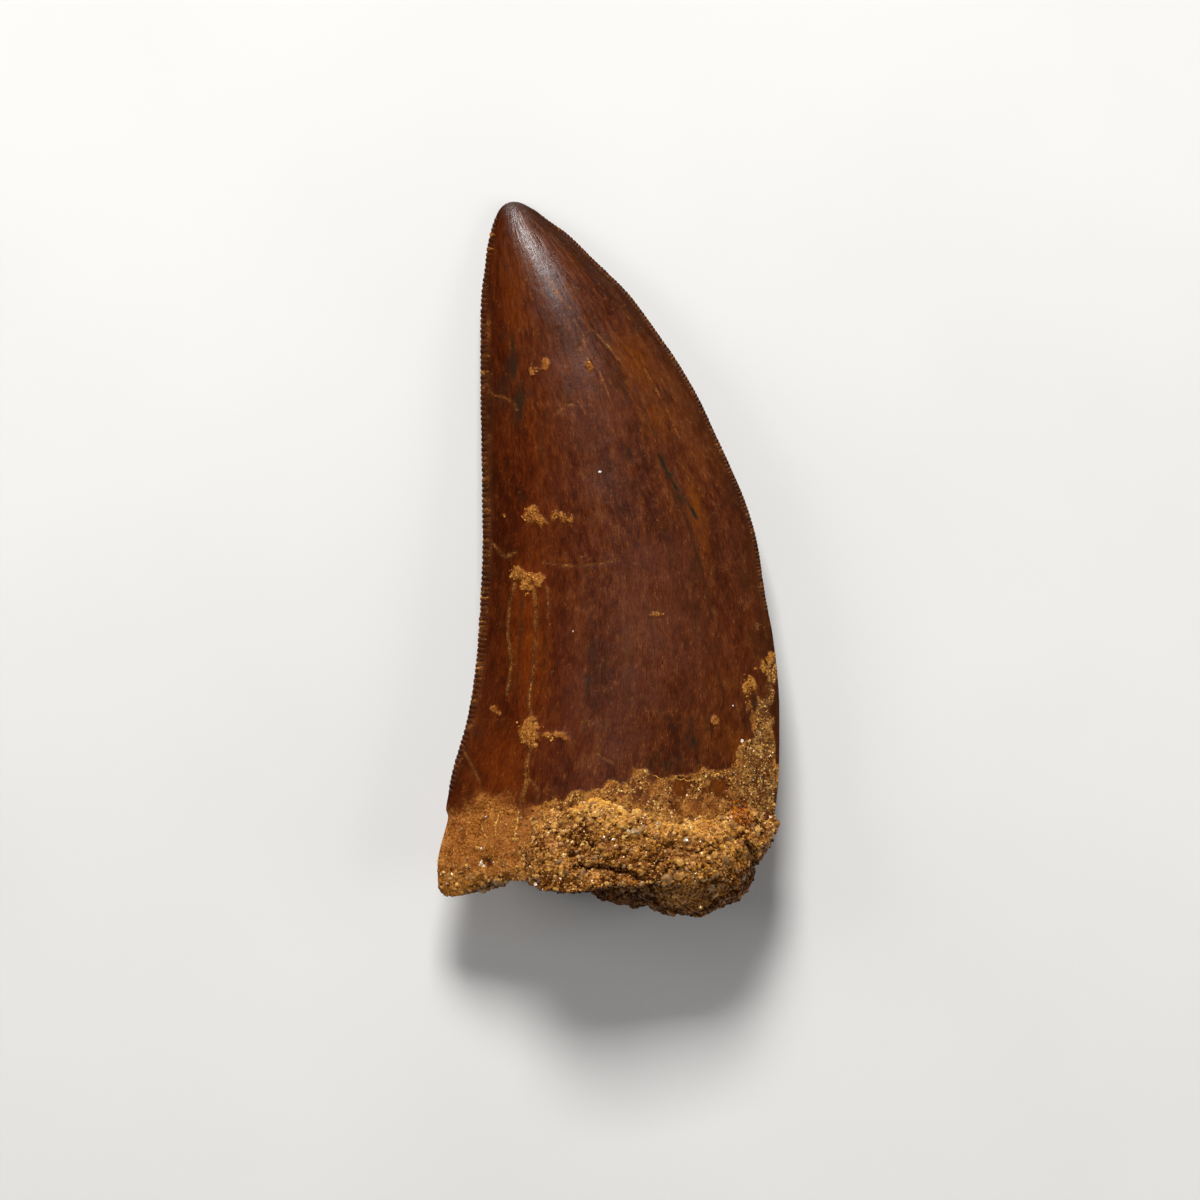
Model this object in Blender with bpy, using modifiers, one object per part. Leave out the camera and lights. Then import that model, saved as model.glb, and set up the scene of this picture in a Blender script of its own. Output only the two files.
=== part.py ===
"""A fossil theropod tooth that lies on its side, with sandstone still clinging to its broken base.

Seen from above (+Z), the tip points towards +Y, the saw-edged front margin bulges towards +X and the
straighter back margin runs down the -X side. The table is the plane z = 0. There are two pieces: the
tooth, a lens-shaped blade with a row of small denticles along each edge, and the sandstone crust.
"""

import math

import bmesh
import bpy
import numpy as np
from mathutils import Vector

MM = 0.001

# Both cutting edges in plan, in millimetres from the middle of the specimen, tip first.
TIP = (-6.2, 23.5)
BACK_EDGE = (
    TIP,
    (-7.3, 22.7),
    (-7.9, 20.9),
    (-8.4, 16.0),
    (-8.5, 9.5),
    (-8.3, 2.4),
    (-8.7, -5.0),
    (-9.8, -12.4),
    (-10.8, -17.6),
    (-11.2, -20.4),
    (-10.6, -21.6),
)
FRONT_EDGE = (
    TIP,
    (-4.2, 22.7),
    (-1.3, 20.4),
    (2.6, 16.0),
    (6.7, 9.5),
    (9.7, 1.6),
    (10.95, -5.8),
    (11.15, -10.5),
    (10.7, -13.5),
    (9.9, -16.0),
    (8.7, -18.9),
)

# The blade's thickness: how far each face bulges from the plane of the two edges at the base, the power by
# which the bulge grows from the tip, and how far the belly's crest climbs from the table towards the base.
UPPER_BULGE = 4.3 * MM
LOWER_BULGE = 4.1 * MM
BULGE_RISE = 0.6
BELLY_LIFT = 1.1 * MM
TIP_BLUNTNESS = 0.03

# A section's face is a blend of a round arch and a ridge that flattens out at the edges.
ROUND_SHARE = 0.65

# A swollen blade's sharp edges move out by more than its faces, so that no wall is thinner than asked.
EDGE_SWELLING = 1.3

# The mesh of the blade.
ROWS = 47
COLUMNS = 12

# Denticles, which fade out before the base on both edges.
DENTICLES_PER_ROW = 3
DENTICLE_HEIGHT = 0.2 * MM
DENTICLE_FLAT = (0.3, 0.7)
BACK_EDGE_SAW_ROWS = range(2, 40)
FRONT_EDGE_SAW_ROWS = range(2, 33)

# The broken end of the tooth, as rings that close in on a shallow hollow.
BASE_ARCH = 0.7 * MM
BREAK_RINGS = ((0.72, 0.1 * MM), (0.4, 1.0 * MM))
BREAK_HOLLOW = 1.4 * MM
BREAK_ROUGHNESS = 0.18 * MM

# Sandstone: a crust that follows the tooth inside an outline, and two lumps past the broken end.
CRUST_THICKNESS = 1.25 * MM
GAP = 0.4 * MM
CRUST_OUTLINE = (
    (-4.4, -15.9),
    (-1.9, -15.3),
    (1.4, -15.8),
    (3.4, -16.6),
    (5.4, -17.0),
    (7.2, -16.2),
    (8.3, -14.8),
    (9.2, -13.2),
    (11.3, -12.2),
    (11.2, -14.5),
    (10.9, -17.7),
    (10.0, -19.6),
    (8.6, -21.7),
    (6.3, -23.5),
    (4.0, -23.4),
    (1.4, -22.3),
    (-4.2, -21.4),
    (-4.9, -20.4),
    (-5.1, -18.2),
)
LUMPS = (
    ((5.1, -19.5, 4.9), (4.6, 3.7, 5.3)),
    ((-0.6, -19.7, 4.8), (4.6, 2.1, 5.0)),
)
FACET_SIZE = 0.6 * MM
BUMP_WIDTH = 1.9 * MM
BUMP_HEIGHT = 0.9 * MM

PRISM_HEIGHT = 30 * MM
TABLE_BLOCK = 80 * MM

ENAMEL_BROWN = (0.13, 0.035, 0.012, 1.0)
SANDSTONE_OCHRE = (0.42, 0.24, 0.075, 1.0)


def clear_scene():
    for obj in list(bpy.data.objects):
        bpy.data.objects.remove(obj, do_unlink=True)


def finish_material(name, colour, roughness):
    material = bpy.data.materials.new(name)
    material.use_nodes = True
    shader = material.node_tree.nodes["Principled BSDF"]
    shader.inputs["Base Color"].default_value = colour
    shader.inputs["Roughness"].default_value = roughness
    shader.inputs["Metallic"].default_value = 0.0
    return material


def add_object(name, mesh, collection):
    obj = bpy.data.objects.new(name, mesh)
    collection.objects.link(obj)
    return obj


def as_helper(obj):
    """A cutter or guide: shown as wire and left out of the render."""
    obj.hide_render = True
    obj.display_type = "WIRE"
    return obj


def smooth_line(points, steps_per_span=24):
    """A smooth line through hand-picked plan points: a Catmull-Rom spline, in metres."""
    knots = np.array(points, float) * MM
    first = 2 * knots[0] - knots[1]
    last = 2 * knots[-1] - knots[-2]
    knots = np.vstack([first, knots, last])
    line = []
    for before, start, end, after in zip(knots, knots[1:], knots[2:], knots[3:]):
        for t in np.linspace(0, 1, steps_per_span, endpoint=False):
            line.append(
                0.5
                * (
                    2 * start
                    + (end - before) * t
                    + (2 * before - 5 * start + 4 * end - after) * t**2
                    + (3 * start - before - 3 * end + after) * t**3
                )
            )
    line.append(knots[-2])
    return np.array(line)


class Edge:
    """A cutting edge in plan, moved out by a swelling, read by the share of its length from the tip."""

    def __init__(self, points, outward_turn, swelling):
        self.line = smooth_line(points)
        tangent = np.gradient(self.line, axis=0)
        tangent /= np.linalg.norm(tangent, axis=1)[:, None]
        normal = outward_turn * np.stack([-tangent[:, 1], tangent[:, 0]], axis=1)
        self.line += EDGE_SWELLING * swelling * normal
        self.line[0] = np.array(TIP) * MM + (0, swelling)
        steps = np.linalg.norm(np.diff(self.line, axis=0), axis=1)
        self.along = np.concatenate([[0], np.cumsum(steps)]) / steps.sum()
        self.outward_turn = outward_turn

    def at(self, share):
        return np.array([np.interp(share, self.along, self.line[:, i]) for i in (0, 1)])

    def outward(self, share):
        step = self.at(min(share + 0.004, 1)) - self.at(max(share - 0.004, 0))
        tangent = step / np.linalg.norm(step)
        return self.outward_turn * np.array([-tangent[1], tangent[0]])


def edge_height(share):
    """Height of the plane of the edges above the table, so that the belly's crest barely rises."""
    rounded = math.sqrt(share**2 + TIP_BLUNTNESS**2)
    return LOWER_BULGE * rounded**BULGE_RISE + BELLY_LIFT * share


def lens(across):
    """The face's height over its width, from -1 at one edge to 1 at the other: a round crest, a thin edge."""
    arch = 1 - across**2
    ridge = 0.5 * (1 + math.cos(math.pi * across))
    return ROUND_SHARE * arch + (1 - ROUND_SHARE) * ridge


def blade_point(back, front, share, across, face, swelling):
    """A point of the upper face (face = 1) or the lower face (face = -1)."""
    start, end = back.at(share), front.at(share)
    x, y = (start + end) / 2 + across * (end - start) / 2
    y += BASE_ARCH * share**8 * (1 - across**2)
    bulge = (UPPER_BULGE if face > 0 else LOWER_BULGE) * share**BULGE_RISE
    depth = bulge * lens(across) + swelling * (1 - across**6)
    return Vector((x, y, edge_height(share) + face * depth))


def edge_vertices(bm, edge, row, saw_rows):
    """The vertices along one edge from this row to the next, the next row's own left out."""
    start, step = row / ROWS, 1 / ROWS
    shares = [(start, 0.0)]
    if row in saw_rows:
        pitch = step / DENTICLES_PER_ROW
        shares = []
        for tooth in range(DENTICLES_PER_ROW):
            root = start + tooth * pitch
            shares.append((root, 0.0))
            shares += [(root + part * pitch, DENTICLE_HEIGHT) for part in DENTICLE_FLAT]
    made = []
    for share, height in shares:
        x, y = edge.at(share) + height * edge.outward(share)
        made.append(bm.verts.new((x, y, edge_height(share))))
    return made


def fan(bm, here, there, line):
    """Joins a coarse step, from here to there, to the fine line of vertices beside it."""
    middle = len(line) // 2
    for k, (a, b) in enumerate(zip(line, line[1:])):
        bm.faces.new((here if k < middle else there, a, b))
    bm.faces.new((here, line[middle], there))


def close_break(bm, ring):
    """Closes the broken end with rings of rough fracture round a shallow hollow."""
    middle = sum((v.co for v in ring), Vector()) / len(ring)
    outer = ring
    for number, (scale, inset) in enumerate(BREAK_RINGS):
        inner = []
        for k, vertex in enumerate(ring):
            rough = BREAK_ROUGHNESS * math.sin(2.7 * k + 4.1 * number)
            place = middle + scale * (vertex.co - middle)
            inner.append(bm.verts.new(place + Vector((0, inset + rough, 0))))
        for k in range(len(ring)):
            after = (k + 1) % len(ring)
            bm.faces.new((outer[k], outer[after], inner[after], inner[k]))
        outer = inner
    hollow = bm.verts.new(middle + Vector((0, BREAK_HOLLOW, 0)))
    for k in range(len(ring)):
        bm.faces.new((outer[k], outer[(k + 1) % len(ring)], hollow))


def blade_mesh(name, sawn=False, swelling=0.0):
    """The tooth as a loft of lens-shaped sections between two sawn or smooth edges, true or swollen."""
    back = Edge(BACK_EDGE, -1, swelling)
    front = Edge(FRONT_EDGE, 1, swelling)
    across = [math.sin(math.pi / 2 * (2 * k / COLUMNS - 1)) for k in range(1, COLUMNS)]
    bm = bmesh.new()
    tip = bm.verts.new((*back.at(0), edge_height(0)))
    rows = {face: [[tip] * len(across)] for face in (1, -1)}
    for row in range(1, ROWS + 1):
        for face in (1, -1):
            points = [blade_point(back, front, row / ROWS, a, face, swelling) for a in across]
            rows[face].append([bm.verts.new(p) for p in points])
    edges = []
    for edge, saw_rows, column in (
        (back, BACK_EDGE_SAW_ROWS, 0),
        (front, FRONT_EDGE_SAW_ROWS, -1),
    ):
        runs = [[tip]]
        runs += [edge_vertices(bm, edge, row, saw_rows if sawn else ()) for row in range(1, ROWS)]
        runs.append([bm.verts.new((*edge.at(1), edge_height(1)))])
        edges.append(runs)
        for row in range(ROWS):
            line = runs[row] + runs[row + 1][:1]
            for face in (1, -1):
                here, there = rows[face][row][column], rows[face][row + 1][column]
                if row == 0:
                    bm.faces.new((tip, line[1], there))
                else:
                    fan(bm, here, there, line)
    for face in (1, -1):
        for row in range(ROWS):
            for k in range(len(across) - 1):
                corners = [
                    rows[face][row][k],
                    rows[face][row][k + 1],
                    rows[face][row + 1][k + 1],
                    rows[face][row + 1][k],
                ]
                bm.faces.new(list(dict.fromkeys(corners)))
    ring = [edges[0][-1][0], *rows[1][-1], edges[1][-1][0], *reversed(rows[-1][-1])]
    for vertex in ring:
        vertex.co.y -= swelling
    close_break(bm, ring)
    bmesh.ops.recalc_face_normals(bm, faces=bm.faces)
    mesh = bpy.data.meshes.new(name)
    bm.to_mesh(mesh)
    bm.free()
    return mesh


def combine(obj, other, operation):
    modifier = obj.modifiers.new(operation.lower(), "BOOLEAN")
    modifier.operation = operation
    modifier.object = other
    modifier.solver = "EXACT"


def outline_prism(points, collection):
    """A tall block whose plan is the given outline, standing through the tooth."""
    curve = bpy.data.curves.new("crust outline", "CURVE")
    curve.dimensions = "2D"
    curve.fill_mode = "BOTH"
    curve.extrude = PRISM_HEIGHT / 2
    spline = curve.splines.new("POLY")
    spline.points.add(len(points) - 1)
    for point, (x, y) in zip(spline.points, points):
        point.co = (x * MM, y * MM, 0, 1)
    spline.use_cyclic_u = True
    guide = add_object("crust outline guide", curve, collection)
    bpy.context.view_layer.update()
    graph = bpy.context.evaluated_depsgraph_get()
    mesh = bpy.data.meshes.new_from_object(guide.evaluated_get(graph))
    bpy.data.objects.remove(guide)
    bm = bmesh.new()
    bm.from_mesh(mesh)
    bmesh.ops.remove_doubles(bm, verts=bm.verts, dist=1e-6)
    bmesh.ops.recalc_face_normals(bm, faces=bm.faces)
    bm.to_mesh(mesh)
    bm.free()
    return as_helper(add_object("crust outline", mesh, collection))


def lump(number, centre, radii, collection):
    bm = bmesh.new()
    bmesh.ops.create_uvsphere(bm, u_segments=32, v_segments=20, radius=1.0)
    for vertex in bm.verts:
        for axis in range(3):
            vertex.co[axis] = (centre[axis] + radii[axis] * vertex.co[axis]) * MM
    mesh = bpy.data.meshes.new(f"end lump {number}")
    bm.to_mesh(mesh)
    bm.free()
    return as_helper(add_object(f"end lump {number}", mesh, collection))


def table_block(collection):
    """The space under the table, which cuts the underside of the sandstone flat."""
    bm = bmesh.new()
    bmesh.ops.create_cube(bm, size=TABLE_BLOCK)
    bmesh.ops.translate(bm, verts=bm.verts, vec=(0, 0, -TABLE_BLOCK / 2))
    mesh = bpy.data.meshes.new("table block")
    bm.to_mesh(mesh)
    bm.free()
    return as_helper(add_object("table block", mesh, collection))


def sandstone(parts, cutters):
    """The crust: the grown blade inside the outline, joined to the lumps, roughened and cut to fit."""
    crust = add_object("sandstone", blade_mesh("sandstone", swelling=CRUST_THICKNESS), parts)
    combine(crust, outline_prism(CRUST_OUTLINE, cutters), "INTERSECT")
    for number, (centre, radii) in enumerate(LUMPS, 1):
        combine(crust, lump(number, centre, radii, cutters), "UNION")
    remesh = crust.modifiers.new("even mesh", "REMESH")
    remesh.mode = "VOXEL"
    remesh.voxel_size = FACET_SIZE
    remesh.use_smooth_shade = True
    clouds = bpy.data.textures.new("sandstone bumps", "CLOUDS")
    clouds.noise_scale = BUMP_WIDTH
    clouds.noise_depth = 1
    rough = crust.modifiers.new("bumps", "DISPLACE")
    rough.texture = clouds
    rough.texture_coords = "LOCAL"
    rough.strength = BUMP_HEIGHT
    rough.mid_level = 0.5
    inner = add_object("tooth and gap", blade_mesh("tooth and gap", swelling=GAP), cutters)
    combine(crust, as_helper(inner), "DIFFERENCE")
    combine(crust, table_block(cutters), "DIFFERENCE")
    return crust


def set_down(objects, rest):
    """Moves the specimen so that its box is centred over the origin and stands on z = 0."""
    bpy.context.view_layer.update()
    graph = bpy.context.evaluated_depsgraph_get()
    corners = []
    for obj in objects:
        shape = obj.evaluated_get(graph)
        corners += [shape.matrix_world @ v.co for v in shape.data.vertices]
    low = [min(c[axis] for c in corners) for axis in range(3)]
    high = [max(c[axis] for c in corners) for axis in range(3)]
    rest.location = (-(low[0] + high[0]) / 2, -(low[1] + high[1]) / 2, -low[2])


def main():
    clear_scene()
    parts = bpy.data.collections.new("fossil tooth")
    cutters = bpy.data.collections.new("cutters")
    for collection in (parts, cutters):
        bpy.context.scene.collection.children.link(collection)

    tooth = add_object("tooth", blade_mesh("tooth", sawn=True), parts)
    tooth.data.shade_smooth()
    tooth.data.set_sharp_from_angle(angle=math.radians(50))
    crust = sandstone(parts, cutters)
    tooth.data.materials.append(finish_material("enamel", ENAMEL_BROWN, 0.35))
    crust.data.materials.append(finish_material("sandstone", SANDSTONE_OCHRE, 0.9))

    rest = bpy.data.objects.new("resting place", None)
    parts.objects.link(rest)
    for obj in [tooth, crust, *cutters.objects]:
        obj.parent = rest
    set_down([tooth, crust], rest)


main()
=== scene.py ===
"""The fossil tooth as it looks close up: satin brown enamel, sawn edges, and grainy sandstone at the base.

Lengths in this script are millimetres in the frame of the CAD model until they are written to a mesh. The
tooth lies on its side with its tip towards +Y, and its upper face is the one in the photograph. Plan points
are measured from the middle of the specimen.
"""

import math

import bmesh
import bpy
import numpy as np
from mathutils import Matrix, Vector
from mathutils.bvhtree import BVHTree

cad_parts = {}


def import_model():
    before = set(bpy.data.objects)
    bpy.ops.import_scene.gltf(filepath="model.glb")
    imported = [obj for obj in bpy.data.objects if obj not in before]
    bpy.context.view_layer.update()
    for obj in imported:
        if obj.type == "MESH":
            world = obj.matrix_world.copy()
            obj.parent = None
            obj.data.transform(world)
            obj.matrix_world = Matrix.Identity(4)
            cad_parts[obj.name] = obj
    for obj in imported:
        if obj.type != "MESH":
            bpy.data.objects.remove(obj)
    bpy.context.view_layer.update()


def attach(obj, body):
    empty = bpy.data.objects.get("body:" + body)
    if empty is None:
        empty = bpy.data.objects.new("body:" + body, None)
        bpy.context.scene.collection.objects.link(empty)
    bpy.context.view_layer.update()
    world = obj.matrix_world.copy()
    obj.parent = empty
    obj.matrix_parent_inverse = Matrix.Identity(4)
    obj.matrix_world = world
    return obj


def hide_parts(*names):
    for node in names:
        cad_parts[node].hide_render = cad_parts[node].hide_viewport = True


MM = 0.001

# The specimen's length and half its width, for coordinates that follow its growth.
LENGTH = 47
HALF_WIDTH = 11

# The outline over the tops of the denticles, tip first: the back edge and the front edge.
TIP = (-6.21, 23.5)
BACK_EDGE = (
    TIP, (-6.48, 23.47), (-6.76, 23.36), (-7.03, 23.14), (-7.32, 22.72), (-7.71, 21.61), (-7.97, 20.51),
    (-8.17, 18.94), (-8.36, 17.44), (-8.43, 14.44), (-8.43, 11.25), (-8.36, 7.27), (-8.3, 4.01),
    (-8.3, 0.1), (-8.43, -2.51), (-8.62, -5.77), (-8.95, -8.38), (-9.47, -10.99), (-10.06, -12.94),
    (-10.45, -14.57), (-10.64, -16.07), (-10.5, -16.66), (-10.71, -17.57), (-10.97, -18.48),
    (-11.17, -19.46), (-11.2, -20.05), (-11.04, -21.16), (-10.6, -21.6),
)
FRONT_EDGE = (
    TIP, (-5.93, 23.47), (-5.56, 23.34), (-5.15, 23.12), (-4.71, 22.85), (-3.86, 22.2), (-2.82, 21.48),
    (-1.84, 20.57), (-1.06, 19.79), (0.11, 18.68), (1.42, 17.31), (3.11, 15.03), (4.61, 12.81),
    (5.92, 10.53), (6.83, 8.57), (7.94, 6.16), (8.85, 4.01), (9.63, 1.4), (10.15, -1.86), (10.61, -4.47),
    (10.94, -7.07), (11.08, -9.03), (11.1, -10.9), (11.08, -13.0), (10.95, -15.2), (10.6, -17.2),
    (9.9, -19.0),
)

# The blade's faces, as in the CAD model.
UPPER_BULGE = 4.3
LOWER_BULGE = 4.1
BULGE_RISE = 0.6
BELLY_LIFT = 1.1
TIP_BLUNTNESS = 0.03
ROUND_SHARE = 0.65
BASE_ARCH = 0.7
EDGE_SWELLING = 1.3

ROWS = 400
UPPER_COLUMNS = 200
LOWER_COLUMNS = 36
BREAK_RINGS = 12

# Denticles: shares of the edge's length where they start and end, pitch, and how far in their ridges reach.
BACK_SAW = {"start": 0.04, "end": 0.85, "pitch": 0.33, "reach": 0.7, "height": 0.07}
FRONT_SAW = {"start": 0.03, "end": 0.67, "pitch": 0.25, "reach": 0.34, "height": 0.035}

# Sandy film on the root at the lower left, and the film above and beside the thick crust.
ROOT_FILM = (
    (-13, -17.4), (-11, -16.5), (-10.32, -16.27), (-9.67, -16.46), (-8.56, -15.1), (-7.12, -15.5),
    (-5.95, -15.94), (-4.58, -15.75), (-3.5, -15.3), (-3, -24), (-13, -24),
)
CRUST_FILM = (
    (10.48, -6.3), (11.3, -6.3), (10.85, -8.0), (10.7, -9.5), (10.65, -11.0), (10.7, -13.0),
    (11.3, -13.8), (11.3, -24), (-4.6, -24), (-4.3, -15.75), (-1.85, -14.9), (-0.6, -14.85),
    (0.24, -14.4), (1.03, -14.18), (1.74, -13.6), (2.59, -13.5), (2.98, -13.79), (4.22, -13.85),
    (5.2, -13.92), (5.98, -14.05), (6.05, -13.53), (6.76, -13.37), (7.68, -13.46), (8.07, -13.33),
    (8.2, -12.55), (8.66, -11.96), (9.5, -11.31), (9.31, -10.07), (9.57, -9.03), (10.09, -7.73),
)
BARE_WINDOWS = (
    ((5.8, -15.2), (6.3, -14.4), (6.85, -13.95), (7.5, -14.05), (7.8, -14.7), (7.6, -15.3), (6.5, -15.4)),
    ((3.7, -14.5), (4.3, -14.2), (5.3, -14.25), (5.2, -14.9), (4.6, -15.5), (4.0, -15.2)),
)

# Marks that are colour alone: centre, half sizes, slant in degrees from upright, strength.
AMBER_PATCHES = (
    (-6.2, 18.2, 0.8, 3.2, -4, 0.8), (1.8, 13.1, 0.9, 1.6, 25, 0.9), (2.9, 9.4, 0.8, 1.3, 15, 0.65),
    (5.7, 3.2, 0.4, 2.2, 12, 1.0), (-5.2, -5.5, 1.2, 4.2, 2, 0.95), (-7.0, -13.4, 1.5, 2.4, -12, 0.8),
    (7.6, -8.4, 0.7, 1.6, 0, 0.4), (-5.0, 8.5, 0.9, 2.4, 0, 0.4), (4.8, 11.5, 0.8, 1.6, 25, 0.3),
    (8.3, -12.0, 0.5, 0.9, 0, 0.9), (-8.2, -1.5, 0.5, 2.0, 0, 0.3), (6.8, -14.7, 0.9, 0.7, 0, 1.0),
    (4.5, -14.7, 0.9, 0.6, 0, 0.8), (-8.5, -6.7, 0.3, 0.6, 0, 0.9), (-7.4, -9.5, 0.25, 0.5, 0, 0.9),
    (6.6, 7.0, 0.8, 2.2, 22, 0.3), (7.0, -11.0, 1.2, 1.4, 0, 0.35),
)
# Dark stains: centre, half sizes, slant, strength. The last three darken the hollows at the broken end:
# painted shade.
STAINS_AND_PIT_SHADE = (
    (-6.3, 12.9, 0.22, 1.2, -6, 0.85), (-5.9, 10.2, 0.26, 1.2, -8, 0.85), (-6.9, 11.2, 0.5, 0.8, 0, 0.45),
    (3.8, 6.2, 0.16, 0.85, 26, 1.0), (4.55, 4.6, 0.1, 1.0, 20, 0.75), (1.3, 6.6, 0.14, 0.4, 0, 0.8),
    (-1.1, -6.5, 0.4, 2.2, -3, 0.25), (-0.3, -8.0, 0.4, 1.9, -3, 0.25), (1.3, -6.8, 0.3, 2.3, 2, 0.25),
    (5.55, -11.9, 0.22, 0.35, 0, 0.9), (5.3, -10.6, 0.1, 1.0, 0, 0.45), (4.1, -10.7, 0.15, 0.2, 0, 0.8),
    (3.6, -13.1, 1.1, 0.3, 0, 0.5), (-2.9, 14.8, 0.5, 0.8, 20, 0.3), (-0.2, 14.3, 0.3, 1.2, 30, 0.4),
    (0.6, 11.6, 0.3, 1.0, 25, 0.35), (-8.0, 6.0, 0.4, 6.0, 0, 0.25), (5.6, -3.0, 0.25, 2.2, 6, 0.3),
    (-7.85, -19.5, 0.3, 0.25, 0, 1.0), (-5.0, -20.35, 0.3, 0.2, 0, 0.9), (-6.9, -19.4, 0.12, 0.2, 0, 0.6),
)

# Cracks that are filled with pale sand: half width, then the plan points.
CRACKS = (
    (0.045, ((-6.15, -1.4), (-6.47, -2.64), (-6.6, -4.73), (-6.41, -6.49), (-6.67, -8.64))),
    (0.065, ((-4.91, -1.66), (-4.78, -3.81), (-4.84, -6.03), (-5.1, -8.18), (-5.23, -9.1), (-5.04, -10.1))),
    (0.075, ((-5.1, -12.1), (-5.36, -13.2), (-5.36, -14.25), (-5.62, -15.16), (-5.82, -15.94))),
    (0.055, ((-5.36, -14.1), (-4.91, -14.51), (-4.65, -14.96), (-4.7, -15.6))),
    (0.035, ((-4.06, -1.6), (-3.95, -2.6), (-3.99, -3.68))),
    (0.045, ((-9.75, -11.9), (-9.08, -13.07), (-8.56, -14.12), (-8.43, -14.44))),
    (0.025, ((-4.25, -0.1), (-3.21, -0.23), (-2.3, -0.29), (-0.8, -0.16), (0.57, 0.16))),
    (0.03, ((-0.93, -12.42), (-0.34, -12.81), (0.24, -13.14))),
    (0.1, ((-7.15, -16.2), (-7.22, -16.7), (-7.35, -17.2), (-7.45, -17.9))),
    (0.1, ((-5.85, -16.2), (-5.93, -16.7), (-6.0, -17.2), (-6.15, -18.0))),
    (0.07, ((-8.3, -17.0), (-8.2, -17.6), (-7.9, -18.1))),
    (0.05, ((-7.97, 1.47), (-7.38, 0.95), (-6.8, 0.36), (-6.08, 0.62))),
    (0.03, ((-7.97, 11.7), (-7.64, 10.92), (-6.93, 10.73), (-6.3, 10.4), (-6.0, 9.9))),
    (0.015, ((-3.7, 9.4), (-3.3, 9.8), (-2.8, 10.15), (-2.4, 10.2))),
    (0.03, ((-1.9, 14.0), (-1.4, 12.9), (-1.2, 12.3))),
    (0.05, ((2.9, -14.0), (3.64, -14.2), (4.48, -14.17), (5.32, -14.3), (5.6, -14.1))),
    (0.06, ((5.75, -15.0), (6.05, -14.45), (6.6, -14.0), (7.37, -13.7))),
)

PLUM_PATCHES = (
    (3.6, -4.0, 2.6, 4.6, 0, 0.8), (1.0, -11.0, 2.2, 1.6, 0, 0.5), (-1.5, 10.5, 1.6, 4.0, 25, 0.5),
    (-2.1, -8.0, 0.9, 2.6, 0, 0.7), (7.8, 1.0, 1.2, 3.0, 15, 0.3), (-8.6, -9.0, 1.2, 2.6, 0, 0.3),
)

# Where the film by the crust is smooth, not crumbly.
SMOOTH_FILM = (
    (6.0, -16.0, 1.5, 0.7, 0, 1.2), (2.6, -15.0, 0.8, 0.5, 0, 1.0), (8.4, -13.0, 0.45, 0.8, 0, 0.6),
    (0.6, -15.3, 0.7, 0.3, 80, 0.5),
)

# Dark hairlines along the growth lines, colour alone: strength, then the plan points.
HAIRLINES = (
    (0.8, ((-1.25, -5.0), (-1.3, -6.6), (-1.4, -8.2), (-1.5, -9.6), (-1.6, -11.0))),
    (1.1, ((3.3, 6.9), (3.5, 6.4), (3.9, 5.65), (4.4, 4.75), (5.1, 3.85), (5.7, 2.85))),
    (0.5, ((-1.7, -1.8), (-1.5, -3.2), (-1.4, -4.4))),
    (0.5, ((-0.3, -5.4), (-0.2, -6.8), (0.0, -8.4), (0.1, -9.6))),
    (0.4, ((2.5, -2.4), (2.6, -3.8), (2.9, -5.2), (2.8, -6.6))),
    (0.6, ((5.0, 3.0), (5.5, 1.2), (6.1, -0.8), (6.5, -2.6), (6.7, -3.8))),
    (0.6, ((6.5, -5.4), (6.9, -6.8), (7.4, -8.4), (7.6, -9.4))),
    (0.8, ((5.3, -8.8), (5.4, -10.4), (5.55, -11.9), (5.8, -13.1))),
    (0.45, ((3.4, 3.4), (3.8, 1.4), (4.1, -0.6), (4.2, -2.4))),
    (0.45, ((-5.7, -2.2), (-5.8, -4.4), (-5.9, -6.8), (-6.1, -9.0))),
    (0.4, ((-4.1, -4.6), (-4.2, -6.4), (-4.2, -8.2))),
    (0.5, ((1.6, 11.4), (2.3, 9.9), (3.0, 8.2), (3.6, 6.8))),
    (0.45, ((-4.6, 9.8), (-4.5, 8.2), (-4.4, 6.4))),
)

# Thin golden veins along the growth lines: half width, then the plan points.
VEINS = (
    (0.09, ((-4.1, 18.6), (-3.2, 17.3), (-2.2, 16.2), (-1.2, 15.2), (-0.2, 14.2), (0.6, 13.2))),
    (0.08, ((-2.3, 15.7), (-1.7, 14.9), (-1.6, 14.1), (-1.2, 13.3))),
    (0.07, ((2.3, 12.6), (3.1, 11.2), (3.9, 9.6), (4.6, 8.0))),
    (0.07, ((-0.9, 12.9), (-0.3, 11.6), (0.2, 10.2))),
)

# The worn crest of the tip, where the polish catches the light.
CREST = (
    (-6.3, 23.2), (-5.8, 21.6), (-5.0, 20.4), (-4.2, 19.4), (-3.5, 18.0), (-2.8, 16.2), (-2.2, 14.8),
    (-1.4, 12.9),
)

# Dark hollows at the broken end, their darkness painted shade: plan point, radius, depth.
HOLLOWS = ((-7.78, -19.6, 0.35, 0.3), (-4.97, -20.3, 0.3, 0.3), (-8.9, -18.9, 0.2, 0.12))

# How far the broken end is from a smooth arch, along +Y, by the place across.
BREAK_PROFILE = (
    (-11.2, -0.05), (-9.9, -0.3), (-9.1, -0.3), (-8.5, 0.05), (-7.5, -0.2), (-6.9, -0.05), (-6.0, -0.3),
    (-4.8, -0.6), (-3.8, -0.2), (11.2, -0.1),
)

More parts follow.
